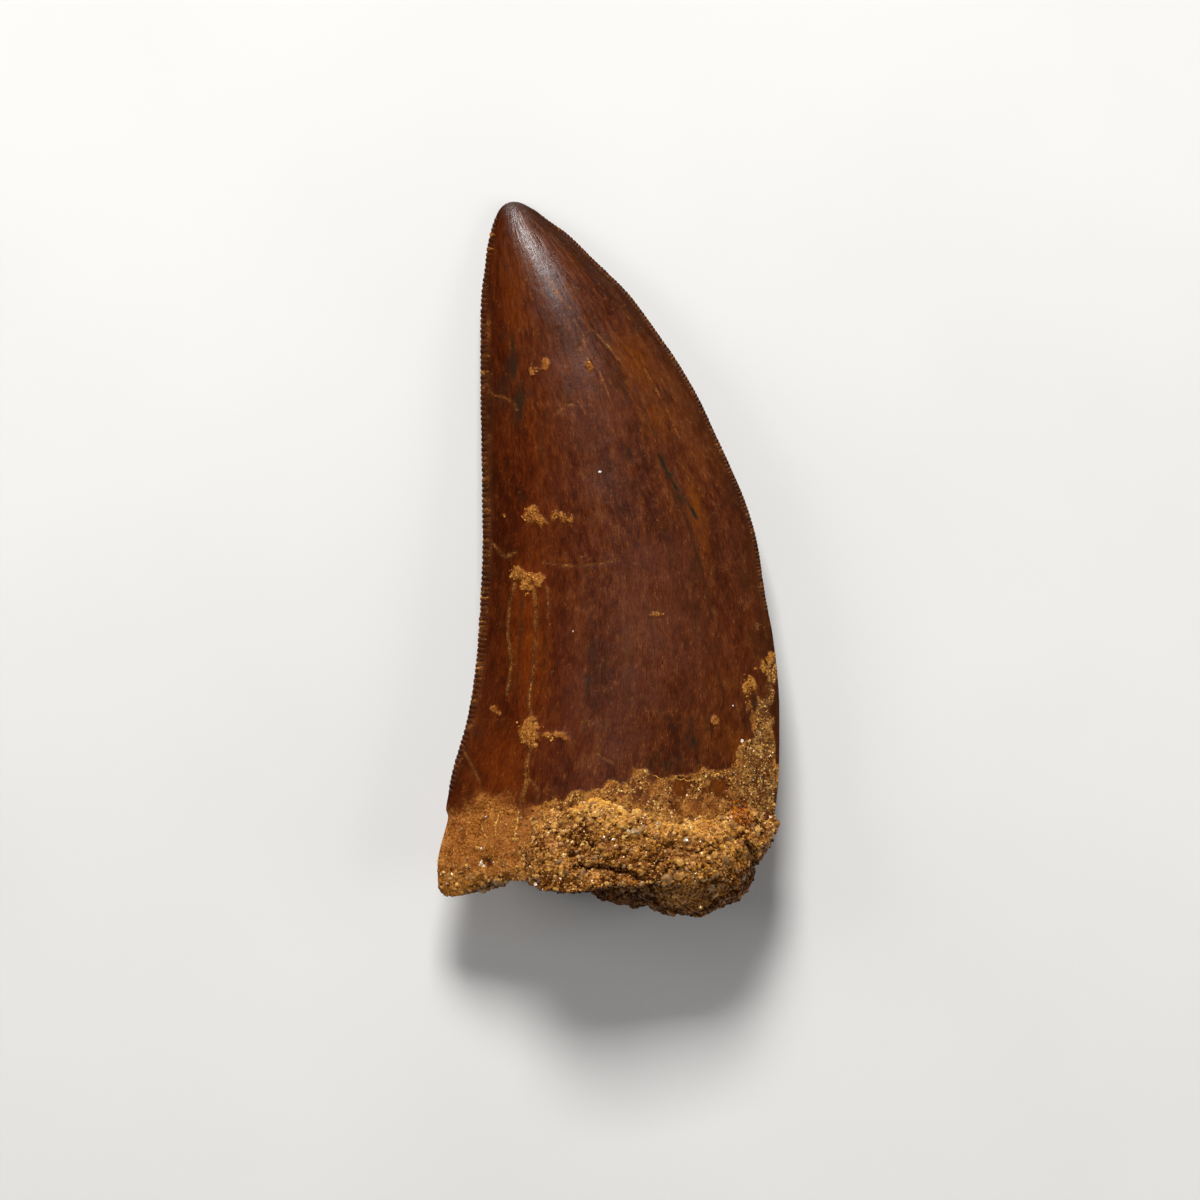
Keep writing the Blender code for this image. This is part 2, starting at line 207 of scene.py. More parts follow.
# Raised patches of sand on the enamel: centre, half sizes, and how many grains.
SAND_PATCHES = (
    (-4.32, 12.85, 0.22, 0.3, 16), (-4.95, 12.5, 0.25, 0.35, 16), (-5.05, 3.1, 0.62, 0.5, 90),
    (-4.6, 2.7, 0.5, 0.22, 40), (-3.6, 2.95, 0.22, 0.4, 26), (-2.95, 2.95, 0.16, 0.16, 8),
    (-2.45, 2.9, 0.14, 0.14, 7), (-6.8, 2.9, 0.06, 0.06, 3), (-6.05, -0.85, 0.45, 0.4, 50),
    (-5.5, -0.95, 0.5, 0.3, 45), (-4.75, -1.15, 0.42, 0.32, 42), (-5.4, -1.7, 0.4, 0.38, 46),
    (-5.2, -11.1, 0.75, 0.95, 150), (-4.0, -11.45, 0.4, 0.25, 16), (-3.2, -11.3, 0.3, 0.14, 8),
    (-7.4, -9.5, 0.1, 0.22, 6), (3.1, -3.35, 0.4, 0.18, 18), (-8.5, -6.8, 0.18, 0.4, 24),
    (-9.7, -11.8, 0.14, 0.5, 20), (9.1, -8.05, 0.42, 0.55, 70), (10.0, -6.8, 0.25, 0.35, 24),
    (10.7, -7.3, 0.3, 0.6, 40), (10.6, -6.3, 0.25, 0.3, 16), (9.05, -9.4, 0.2, 0.35, 16),
    (6.85, -10.25, 0.26, 0.2, 16), (-1.35, 12.8, 0.12, 0.3, 8), (9.1, -13.9, 0.25, 0.25, 20),
    (9.7, -9.9, 0.12, 0.4, 12), (10.1, -10.7, 0.12, 0.7, 14), (6.0, -13.75, 0.42, 0.16, 30),
    (5.85, -14.5, 0.12, 0.45, 18), (7.0, -13.75, 0.4, 0.05, 10), (8.0, -14.4, 0.12, 0.6, 20),
    (-8.55, -3.0, 0.14, 1.6, 40), (-8.75, -5.6, 0.14, 1.2, 34),
)

# The thick crust of sandstone: its outline in plan, and the lumps that hide the broken end.
CRUST_THICKNESS = 1.05
CRUST_OUTLINE = (
    (-4.45, -15.8), (-3.3, -15.4), (-1.85, -15.2), (-0.5, -15.4), (0.57, -15.8), (1.75, -16.15),
    (2.66, -16.35), (4.0, -16.7), (5.4, -17.1), (6.9, -16.5), (8.2, -15.5), (8.85, -14.2), (9.3, -13.0),
    (10.1, -12.2), (11.2, -11.9), (11.15, -14.5), (10.85, -17.6), (10.3, -18.75), (9.3, -20.5),
    (8.4, -21.7), (7.0, -22.8), (5.9, -23.3), (4.0, -23.2), (2.6, -22.7), (1.3, -22.1), (-0.6, -21.7),
    (-4.2, -21.5), (-5.9, -20.9), (-6.2, -18.6), (-5.4, -16.9),
)
UPPER_EDGE = (*CRUST_OUTLINE[-3:], *CRUST_OUTLINE[:15])
END_LUMPS = (
    ((5.1, -19.5, 4.9), (4.5, 3.6, 5.1)),
    ((-0.6, -19.6, 4.8), (4.4, 2.0, 4.9)),
    ((8.2, -17.9, 5.3), (2.3, 2.4, 3.5)),
    ((-3.9, -19.4, 4.9), (2.0, 1.9, 3.6)),
    ((1.5, -20.5, 3.8), (3.2, 2.0, 3.4)),
)
CLEFTS = (
    (0.2, 0.6, ((-1.9, -19.9), (-0.4, -19.95), (1.0, -20.2), (2.4, -20.8), (3.1, -21.6))),
    (0.14, 0.6, ((9.0, -18.3), (9.37, -18.88), (9.44, -19.72), (10.2, -20.4))),
    (0.13, 0.5, ((8.0, -15.2), (8.3, -15.45), (8.6, -15.6))),
    (0.12, 0.3, ((4.6, -18.6), (5.7, -18.9), (6.6, -18.5), (7.3, -18.8))),
    (0.1, 0.25, ((-0.4, -16.9), (0.6, -17.4), (1.9, -17.5), (3.0, -18.1))),
)
CRUST_VOXEL = 0.11

# How many grains lie on each part.
FILM_GRAINS = 5200
ROOT_GRAINS = 1200
NODULES = 60
CRUMBS = 2200
CLEAR_GRAINS = 200

# Where the crust's upper face turns under into its lower rim, below which the tone paints shade.
LIT_EDGE = (
    (-6.0, -21.8), (-3.0, -21.5), (0.5, -21.1), (1.9, -21.2), (2.9, -21.8), (4.0, -22.2), (5.4, -22.3),
    (6.6, -21.9), (7.9, -20.8), (8.6, -20.1), (9.4, -19.4), (11.0, -17.5),
)

# Where the sandstone is stained orange, and where it is a clear yellow.
ORANGE = (
    (8.5, -16.2, 0.5, 0.95, 20, 1.6), (9.0, -16.9, 0.35, 0.35, 0, 1.2), (8.2, -15.2, 0.25, 0.5, 0, 0.8),
    (-2.6, -15.9, 0.25, 0.5, 70, 0.5), (6.3, -17.2, 0.6, 0.3, 0, 0.4), (-3.7, -16.4, 0.3, 0.3, 0, 0.5),
)
YELLOW = (
    (7.1, -18.1, 1.0, 0.7, 30, 0.16), (-2.0, -16.0, 1.6, 0.5, 0, 0.2), (0.8, -16.6, 1.0, 0.4, 10, 0.22),
    (-3.6, -16.0, 0.9, 0.4, 0, 0.2), (4.0, -17.4, 1.2, 0.3, 10, 0.12), (9.6, -15.6, 0.5, 0.8, 0, 0.1),
)

# Clear grains that stand out in the photograph: plan point, radius, tone.
# Tones from about 0.9 up colour a grain near white where a glint shows: painted highlights.
QUARTZ_AND_GLINTS = (
    ((3.8, -20.7), 0.5, 0.55), ((4.4, -20.6), 0.34, 0.9), ((6.57, -21.29), 0.38, 0.6),
    ((1.6, -17.5), 0.45, 0.7), ((-1.7, -20.2), 0.26, 0.55), ((2.2, -17.3), 0.3, 0.7),
    ((-3.3, -19.6), 0.3, 0.45), ((7.6, -19.4), 0.36, 0.5), ((0.3, -18.1), 0.15, 0.85),
    ((5.0, -18.1), 0.28, 0.6), ((9.3, -17.2), 0.26, 0.6), ((-8.36, -19.65), 0.18, 0.87),
    ((-8.2, -19.85), 0.14, 0.8), ((-7.55, -19.6), 0.08, 0.9), ((-8.35, -18.7), 0.09, 0.9),
    ((-4.8, -21.0), 0.16, 1.1), ((-0.6, 5.84), 0.11, 1.2), ((8.66, -11.7), 0.14, 1.1),
    ((8.07, -9.4), 0.07, 1.1), ((-2.36, -4.55), 0.07, 1.1),
)

# Colour ramps: the place along the ramp, then red, green and blue.
ENAMEL = (
    (0.4, 0.034, 0.0056, 0.001), (0.48, 0.06, 0.011, 0.0018), (0.54, 0.08, 0.017, 0.0034),
    (0.62, 0.112, 0.029, 0.007),
)
FILM = (
    (0.38, 0.085, 0.022, 0.0035), (0.47, 0.215, 0.064, 0.0105), (0.55, 0.335, 0.118, 0.022),
    (0.65, 0.5, 0.23, 0.06),
)
GRITTY_FILM = (
    (0.36, 0.06, 0.017, 0.003), (0.47, 0.24, 0.088, 0.012), (0.56, 0.43, 0.185, 0.029),
    (0.66, 0.56, 0.31, 0.085),
)
OLIVE = (
    (0.38, 0.03, 0.015, 0.005), (0.46, 0.13, 0.064, 0.021), (0.53, 0.25, 0.137, 0.048),
    (0.6, 0.48, 0.265, 0.07), (0.68, 0.64, 0.39, 0.125),
)
RUSTY = (
    (0.37, 0.05, 0.013, 0.004), (0.45, 0.17, 0.056, 0.014), (0.52, 0.29, 0.115, 0.031),
    (0.6, 0.53, 0.26, 0.052), (0.68, 0.68, 0.43, 0.135),
)
SANDSTONE = (
    (0.02, 0.03, 0.008, 0.001), (0.27, 0.135, 0.039, 0.004), (0.5, 0.32, 0.118, 0.013),
    (0.72, 0.58, 0.25, 0.024), (0.98, 0.7, 0.36, 0.05),
)
RUST = ((0.2, 0.034, 0.008, 0.0008), (0.5, 0.21, 0.05, 0.0015), (0.85, 0.54, 0.165, 0.003))
HONEY = (
    (0.08, 0.045, 0.0125, 0.002), (0.33, 0.165, 0.056, 0.0085), (0.56, 0.33, 0.142, 0.028),
    (0.8, 0.55, 0.275, 0.056), (0.98, 0.7, 0.44, 0.14),
)
# Its near-white top is reached by the palest clear grains: painted glints.
GLASS = (
    (0.25, 0.14, 0.056, 0.014), (0.6, 0.34, 0.18, 0.066), (0.85, 0.6, 0.42, 0.22),
    (1.0, 0.95, 0.92, 0.86),
)
FLOOR = ((0.3, 0.7, 0.69, 0.67), (0.7, 0.74, 0.73, 0.71))

CAMERA_HEIGHT = 3000
PICTURE_HEIGHT = 78.24
PICTURE_CENTRE = (-0.6, -2.51)


def ramp(value, low, high):
    """0 below low, 1 above high, and smooth in between."""
    t = np.clip((value - low) / (high - low), 0, 1)
    return t * t * (3 - 2 * t)


def noise(points, size, seed, octaves=2):
    """Smooth noise from about -1 to 1 at n x 3 points, with bumps about this size."""
    table = np.random.default_rng(seed).uniform(-1, 1, (32, 32, 32))
    total = weight = 0
    for octave in range(octaves):
        place = np.asarray(points, float) / size * 2**octave + 7.3 * octave
        cell = np.floor(place).astype(int)
        inside = place - cell
        inside = inside * inside * (3 - 2 * inside)
        value = 0
        for corner in np.ndindex(2, 2, 2):
            share = np.prod(np.where(corner, inside, 1 - inside), axis=1)
            at = (cell + corner) % 32
            value = value + share * table[at[:, 0], at[:, 1], at[:, 2]]
        total = total + value * 0.5**octave
        weight += 0.5**octave
    return 1.6 * total / weight


def smooth_line(points, steps=24):
    """A Catmull-Rom spline through plan points."""
    knots = np.array(points, float)
    knots = np.vstack([2 * knots[0] - knots[1], knots, 2 * knots[-1] - knots[-2]])
    t = np.linspace(0, 1, steps, endpoint=False)[:, None]
    spans = [
        0.5 * (2 * b + (c - a) * t + (2 * a - 5 * b + 4 * c - d) * t**2 + (3 * b - a - 3 * c + d) * t**3)
        for a, b, c, d in zip(knots, knots[1:], knots[2:], knots[3:])
    ]
    return np.vstack([*spans, knots[-2:-1]])


def line_distance(plan, line):
    """Distance of n x 2 plan points from a line of points."""
    best = np.full(len(plan), np.inf)
    for a, b in zip(line, line[1:]):
        along = b - a
        t = np.clip((plan - a) @ along / (along @ along), 0, 1)
        best = np.minimum(best, np.linalg.norm(plan - a - t[:, None] * along, axis=1))
    return best


def away_from(plan, line, steps=6):
    """Distance of n x 2 plan points from a smooth line through some points."""
    return line_distance(plan, smooth_line(line, steps))


def bell(away, width):
    """1 at 0 and next to nothing beyond twice this width."""
    return np.exp(-((away / width) ** 2))


def depth_inside(plan, outline):
    """How far n x 2 plan points are inside an outline; negative outside it."""
    loop = np.array([*outline, outline[0]], float)
    x, y = plan.T
    inside = np.zeros(len(plan), bool)
    for (x0, y0), (x1, y1) in zip(loop, loop[1:]):
        if y0 != y1:
            inside ^= ((y0 > y) != (y1 > y)) & (x < (x1 - x0) * (y - y0) / (y1 - y0) + x0)
    return np.where(inside, 1, -1) * line_distance(plan, loop)


def patches(plan, marks):
    """The strongest of some soft slanted ovals at each plan point."""
    value = np.zeros(len(plan))
    for x, y, half_width, half_length, slant, strength in marks:
        turn = math.radians(slant)
        across = (plan[:, 0] - x) * math.cos(turn) + (plan[:, 1] - y) * math.sin(turn)
        along = -(plan[:, 0] - x) * math.sin(turn) + (plan[:, 1] - y) * math.cos(turn)
        away = (across / half_width) ** 2 + (along / half_length) ** 2
        value = np.maximum(value, strength * np.exp(-0.6 * away**1.3))
    return value


class Margin:
    """An edge of the blade in plan, read by the share of its length from the tip."""

    def __init__(self, points, outward_turn, saw=None, swelling=0.0):
        line = smooth_line(points)
        steps = np.linalg.norm(np.diff(line, axis=0), axis=1)
        self.length = steps.sum()
        self.share = np.linspace(0, 1, 2000)
        along = np.concatenate([[0], np.cumsum(steps)]) / self.length
        line = np.stack([np.interp(self.share, along, line[:, i]) for i in (0, 1)], axis=1)
        tangent = np.gradient(line, axis=0)
        tangent /= np.linalg.norm(tangent, axis=1)[:, None]
        self.normal = outward_turn * np.stack([-tangent[:, 1], tangent[:, 0]], axis=1)
        self.line = line + EDGE_SWELLING * swelling * self.normal
        if saw:
            low, high = saw["start"], saw["end"]
            sawn = ramp(self.share, low - 0.03, low + 0.08) * (1 - ramp(self.share, high, high + 0.03))
            place = np.column_stack([self.share * self.length, self.line])
            chips = 0.5 * saw["height"] * ramp(noise(place, 1.1, 17), 0.2, 0.9)
            self.line -= ((saw["height"] + chips) * sawn)[:, None] * self.normal
        self.line[0] = np.array(TIP) + (0, swelling)

    def at(self, share):
        return np.stack([np.interp(share, self.share, self.line[:, i]) for i in (0, 1)], axis=-1)

    def outward(self, share):
        return np.stack([np.interp(share, self.share, self.normal[:, i]) for i in (0, 1)], axis=-1)


class Blade:
    """The tooth's own form, true or swollen: a lens-shaped section between the two margins."""

    def __init__(self, sawn=True, swelling=0.0):
        self.back = Margin(BACK_EDGE, -1, BACK_SAW if sawn else None, swelling)
        self.front = Margin(FRONT_EDGE, 1, FRONT_SAW if sawn else None, swelling)
        self.swelling = swelling

    def height(self, share):
        rounded = np.sqrt(share**2 + TIP_BLUNTNESS**2)
        return LOWER_BULGE * rounded**BULGE_RISE + BELLY_LIFT * share

    def depth(self, share, across, face):
        arch = 1 - across**2
        ridge = 0.5 * (1 + np.cos(np.pi * across))
        lens = ROUND_SHARE * arch + (1 - ROUND_SHARE) * ridge
        bulge = np.where(face > 0, UPPER_BULGE, LOWER_BULGE) * share**BULGE_RISE
        return bulge * lens + self.swelling * (1 - across**6)

    def half_width(self, share):
        return np.linalg.norm(self.front.at(share) - self.back.at(share), axis=-1) / 2

    def points(self, share, across, face):
        """The surface at arrays of shares and places across; face is 1 above and -1 below."""
        start, end = self.back.at(share), self.front.at(share)
        plan = (start + end) / 2 + across[..., None] * (end - start) / 2
        x, y = plan[..., 0], plan[..., 1] + BASE_ARCH * share**8 * (1 - across**2)
        z = self.height(share) + face * self.depth(share, across, face)
        return np.stack([x, y, z], axis=-1)


def new_mesh(name, points, faces, smooth=True, **attributes):
    """A mesh in metres from points in millimetres, with one number or vector a point for each attribute."""
    mesh = bpy.data.meshes.new(name)
    mesh.from_pydata((np.asarray(points) * MM).tolist(), [], faces)
    for key, values in attributes.items():
        values = np.asarray(values, dtype=np.float32)
        vector = values.ndim == 2
        layer = mesh.attributes.new(key, "FLOAT_VECTOR" if vector else "FLOAT", "POINT")
        layer.data.foreach_set("vector" if vector else "value", values.ravel())
    mesh.polygons.foreach_set("use_smooth", [smooth] * len(mesh.polygons))
    mesh.validate()
    mesh.update()
    return mesh


def read(items, key, width, kind=float):
    """One number or vector for each of a mesh's items, as an array."""
    values = np.empty(len(items) * width, dtype=kind)
    items.foreach_get(key, values)
    return values.reshape(-1, width) if width > 1 else values


def read_attribute(mesh, name):
    return read(mesh.attributes[name].data, "value", 1, np.float32)


def add_piece(mesh, material, node):
    """Shows a mesh as part of the specimen, in place of a CAD node."""
    obj = bpy.data.objects.new(mesh.name, mesh)
    bpy.context.scene.collection.objects.link(obj)
    mesh.materials.append(material)
    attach(obj, "root")
    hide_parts(node)


def patch_raise(points):
    """How far into a sand patch each point is, from 0 to 1, with ragged edges."""
    x = points[:, 0] + 0.26 * noise(points, 0.55, 11)
    y = points[:, 1] + 0.26 * noise(points, 0.55, 12)
    holes = 0.35 * ramp(noise(points, 0.3, 14), 0.1, 0.7)
    value = np.zeros(len(points))
    for px, py, half_width, half_height, _ in SAND_PATCHES:
        away = np.abs((x - px) / (half_width + 0.1)) ** 1.4 + np.abs((y - py) / (half_height + 0.1)) ** 1.4
        value = np.maximum(value, 1 - ramp(away + holes, 0.8, 1.2))
    return value


def sand_cover(points):
    """How much of the upper face is under sand, and how gritty that sand is, at n x 3 points."""
    plan = points[:, :2]
    x, y = plan.T
    ragged = noise(points, 1.1, 13, 3)
    blotch = noise(points * (1, 0.6, 1), 0.7, 15, 3)
    root = ramp(depth_inside(plan, ROOT_FILM) + 0.6 * ragged, -0.8, 1.2)
    warp = np.stack([noise(points, 0.8, 19), noise(points, 0.8, 20)], axis=1)
    inside = depth_inside(plan + 0.28 * warp, CRUST_FILM) + 0.22 * ragged
    rim = bell(inside - 0.1, 0.12) * ramp(blotch, -0.9, 0.1)
    ledge = 1 - ramp(line_distance(plan, np.array(CRUST_OUTLINE[:16])) + 0.25 * blotch, 0.1, 0.6)
    beside = ramp(x, 7.8, 9.0)
    streaks = noise(points * (1, 0.32, 1), 0.45, 18, 3)
    bare = 0.66 + 0.06 * ramp(-x, -2.2, 0.5) + 0.36 * blotch
    worn = 0.64 - 0.1 * ramp(y, -12.5, -10.5) + 0.62 * streaks
    thin = ((1 - beside) * bare + beside * worn) * ramp(inside, -0.05, 0.2)
    rim *= 1 - 0.5 * ramp(y, -12.5, -10.5)
    for window in BARE_WINDOWS:
        hole = depth_inside(plan + 0.3 * warp, window) + 0.3 * blotch
        thin = np.minimum(thin, 1 - 0.85 * ramp(hole, -0.2, 0.25))
    patch = patch_raise(points) * (0.8 + 0.2 * blotch)
    clean_edge = 1 - ramp(x, 10.75, 10.9) * (1 - ramp(-y, 13.0, 13.6)) * ramp(-y, 7.4, 8.0)
    sand = np.maximum.reduce([root, rim, thin, ledge * ramp(inside, -0.05, 0.1), patch]) * clean_edge
    for half_width, line in VEINS:
        sand = np.maximum(sand, (0.42 + 0.3 * blotch) * bell(away_from(plan, line), half_width))
    for half_width, line in CRACKS:
        dusty = bell(away_from(plan, line) + 0.05 * blotch, 0.07 + half_width) * (1 - ramp(inside, -0.1, 0.2))
        sand = np.maximum(sand, (0.3 + 3 * half_width + 0.25 * blotch) * dusty)
    grit = np.maximum.reduce([0.9 * rim, 0.8 * ledge, ramp(-y, 19.3, 21.3) * 0.7, 0.3 * beside])
    grit = np.maximum(grit, patch * (0.2 + 0.6 * ramp(x, 6.0, 8.5)))
    return sand, np.clip(grit + 0.25 * blotch, 0, 1)


def enamel_marks(points, growth, shares, acrosses, above, inward):
    """What shows at each point of the tooth's grid: the attributes that its material reads."""
    plan = points[:, :2]
    x, y = plan.T
    cover, grit = sand_cover(points)
    below = ramp(-16.2 - y + 1.4 * noise(points, 2.5, 21, 3), 0, 1.2)
    turned = cover * (1 - ramp(inward + 0.6 * noise(points, 1.2, 23), 0.3, 1.8))
    sand = np.where(above, cover, np.maximum(below, turned))
    comb = (1 - ramp(inward, 0.35, 0.8)) * (acrosses < 0) * (shares < BACK_SAW["end"])
    comb = np.maximum(comb, (1 - ramp(inward, 0.1, 0.35)) * (acrosses > 0) * (shares < FRONT_SAW["end"]))
    sand = np.maximum(sand, comb * ramp(shares, 0.03, 0.2) * (0.14 + 0.34 * noise(growth, 1.6, 31, 3)))

    far_side = growth * (1, 1, 0) + (60, 0, 0)
    frayed = plan.copy()
    frayed[:, 0] += 0.2 * noise(points * (1, 0.35, 1), 0.45, 42, 3)
    frayed[:, 1] += 0.7 * noise(points * (1.5, 0.35, 1), 0.5, 44, 3)
    hidden = ramp(noise(far_side / (1, 5, 1), 1.6, 41), 0.1, 0.9)
    amber = np.where(above, patches(plan, AMBER_PATCHES), hidden)
    hidden = ramp(noise(far_side / (1, 2, 1), 3.0, 52), 0.2, 0.9)
    plum = np.where(above, patches(frayed, PLUM_PATCHES), hidden)
    hidden = 0.8 * ramp(noise(far_side / (1, 7, 1), 0.8, 43), 0.6, 1.1)
    # Stains, and painted shade in the hollows at the broken end.
    stain_and_pit_shade = np.where(above, patches(frayed, STAINS_AND_PIT_SHADE), hidden)
    uneven = 0.36 + 0.3 * noise(points, 0.6, 47)
    for half_width, line in CRACKS:
        dark = ramp(half_width, 0.0, 0.05) * bell(away_from(plan, line), 0.15)
        stain_and_pit_shade = np.maximum(stain_and_pit_shade, above * dark * uneven)
    wander = 0.05 * noise(points * (1, 0.3, 1), 0.4, 46)
    uneven = 0.75 + 0.5 * noise(points, 0.7, 48)
    for strength, line in HAIRLINES:
        stain_and_pit_shade = np.maximum(stain_and_pit_shade, above * strength * uneven * bell(away_from(plan, line, 8) + wander, 0.1))
    beside = above * ramp(x, 8.6, 9.8) * ramp(-y, 7.5, 9.5)
    stain_and_pit_shade = np.maximum(stain_and_pit_shade, beside * 0.8 * ramp(noise(points * (1, 0.45, 1), 0.6, 49, 3), 0.2, 0.7))

    inside = depth_inside(plan, CRUST_FILM) + 0.4 * noise(points, 0.9, 50)
    smooth = np.minimum(patches(frayed, SMOOTH_FILM), 1)
    crumbly = ramp(inside, -0.3, 0.3) * ramp(x, -4.5, -3.0)
    crumbly *= above * (1 - 0.8 * smooth) * (0.85 + 0.3 * noise(points, 0.8, 54))
    width = np.where(acrosses > 0, 1.5, 0.6 + 0.8 * ramp(y, 2, 6) * (1 - ramp(y, 14, 17)))
    margin = 1 - ramp(inward + 0.35 * noise(growth / (1, 3, 1), 0.8, 45), 0.2, width + 0.3)
    margin *= np.where(acrosses > 0, 0.75 + 0.35 * ramp(y, 12, 18), 1)
    margin = np.maximum(margin, 0.4 * (1 - ramp(inward, 0.8, 3.2)) * (acrosses < 0))
    crest = bell(away_from(plan, CREST), 0.55 + 0.07 * np.clip(22 - y, 0, 10))
    crest = np.where(above, crest * (0.14 * ramp(y, 10, 14) + 0.86 * ramp(y, 15, 20.5)), 0.2)
    return dict(
        sand=sand, grit=grit, amber=amber, stain_and_pit_shade=stain_and_pit_shade, margin=margin, plum=plum, crumbly=crumbly, crest=crest
    )


def enamel_relief(points, growth, above, marks):
    """How far enamel and sand stand out from the true blade at each point of the tooth's grid."""
    plan = points[:, :2]
    relief = 0.05 * noise(points, 3.2, 51) + 0.02 * noise(growth / (1, 6, 1), 0.9, 53)
    relief += 0.01 * noise(growth / (1, 4, 1), 0.35, 55)
    for half_width, line in CRACKS:
        relief -= 0.5 * half_width * above * bell(away_from(plan, line), 0.12)
    relief -= 0.02 * marks["stain_and_pit_shade"]
    relief += 0.05 * above * patch_raise(points) * (1 + 0.5 * noise(points, 0.3, 59))
    rough = (0.03 + 0.07 * marks["grit"]) * noise(points, 0.5, 57, 3)
    relief += ramp(marks["sand"], 0.5, 1.0) * (0.06 + rough)
    relief += ramp(-plan[:, 1], 18.6, 20.6) * (0.12 + 0.3 * noise(points, 1.3, 65, 3)) * above
    for x, y, radius, deep in HOLLOWS:
        pit = deep * above * bell(np.linalg.norm(plan - (x, y), axis=1), radius)
        relief -= pit
        # Clearing the sand from a hollow leaves it darker: painted shade.
        marks["sand"] = marks["sand"] * (1 - 2.5 * pit)
    return relief


def crowded(t):
    """Places from -1 to 1 that lie closer together towards the edges."""
    return 0.45 * t + 0.55 * np.sin(np.pi / 2 * t)


def tooth_mesh(blade):
    """The tooth: a dense grid from the tip to the base round both faces, closed by the broken end."""
    share = np.linspace(0, 1, ROWS + 1)[1:] ** 1.1
    upper = crowded(np.linspace(-1, 1, UPPER_COLUMNS + 1))
    lower = crowded(np.linspace(1, -1, LOWER_COLUMNS + 1))[1:-1]
    across = np.concatenate([upper, lower])
    face = np.concatenate([np.ones(len(upper)), -np.ones(len(lower))])
    columns = len(across)
    shares, acrosses = np.broadcast_arrays(share[:, None], across[None, :])
    faces = np.broadcast_to(face[None, :], shares.shape)
    points = blade.points(shares, acrosses, faces).reshape(-1, 3)
    shares, acrosses, faces = shares.ravel(), acrosses.ravel(), faces.ravel()
    above = faces > 0
    inward = (1 - np.abs(acrosses)) * blade.half_width(shares)
    round_arc = HALF_WIDTH * faces * acrosses + np.where(above, 0, 2 * HALF_WIDTH)
    growth = np.stack([round_arc, LENGTH * shares, 5 * faces], axis=1)

    marks = enamel_marks(points, growth, shares, acrosses, above, inward)
    relief = enamel_relief(points, growth, above, marks) * (1 - np.abs(acrosses) ** 12)
    points[:, 2] += faces * relief
    end = ramp(shares, 0.93, 1.0)
    profile = np.interp(points[:, 0], *zip(*BREAK_PROFILE))
    points[:, 1] += end * (profile + 0.16 * noise(points * (1, 0, 1), 0.9, 67, 3))
    points[:, 0] += end * 0.2 * noise(points, 1.5, 69)

    tip = np.array([[*TIP, blade.height(0.0)]])
    rings = [points[-columns:]]
    middle = rings[0].mean(axis=0)
    for number in range(1, BREAK_RINGS):
        inside = number / BREAK_RINGS
        ring = middle + (1 - inside) * (rings[0] - middle)
        rough = 0.28 * noise(ring, 1.1, 61, 3) * ramp(inside, 0, 0.2)
        ring[:, 1] += 1.0 * ramp(inside, 0, 0.8) + rough
        rings.append(ring)
    hollow = (middle + (0, 1.1, 0))[None]
    everything = np.vstack([tip, points, *rings[1:], hollow])
    broken = everything[1 + len(points):]

    bands = ROWS + BREAK_RINGS - 2
    rows = np.arange(bands)[:, None] * columns + 1
    k = np.arange(columns)[None, :]
    after = (k + 1) % columns
    quads = np.stack([rows + k, rows + columns + k, rows + columns + after, rows + after], axis=-1)
    fan = [(0, 1 + i, 1 + (i + 1) % columns) for i in range(columns)]
    last = len(everything) - 1
    close = [(last, last - columns + (i + 1) % columns, last - columns + i) for i in range(columns)]

    pale = np.clip(0.55 + 0.45 * noise(broken, 0.8, 63, 3), 0, 1)
    ends = {"grit": 0.6, "amber": 0.2, "crumbly": 0.5, "sand": pale}
    for name, values in marks.items():
        marks[name] = np.concatenate([values[:1], values, ends.get(name, 0) + np.zeros(len(broken))])
    marks["growth"] = np.vstack([growth[:1], growth, broken + (90, 0, 0)])
    return new_mesh("tooth_enamel", everything, fan + quads.reshape(-1, 4).tolist() + close, **marks)


def tubes(rings):
    """Faces of closed tubes whose points are bodies x rings x points round."""
    bodies, count, around = rings.shape[:3]
    start = (np.arange(bodies) * count * around)[:, None, None]
    row = np.arange(count - 1)[None, :, None] * around
    k = np.arange(around)[None, None, :]
    after = (k + 1) % around
    corners = [row + k, row + after, row + around + after, row + around + k]
    quads = np.stack([start + c for c in corners], axis=-1).reshape(-1, 4).tolist()
    first = [[s + i for i in reversed(range(around))] for s in start.ravel()]
    final = [[s + (count - 1) * around + i for i in range(around)] for s in start.ravel()]
    return quads + first + final


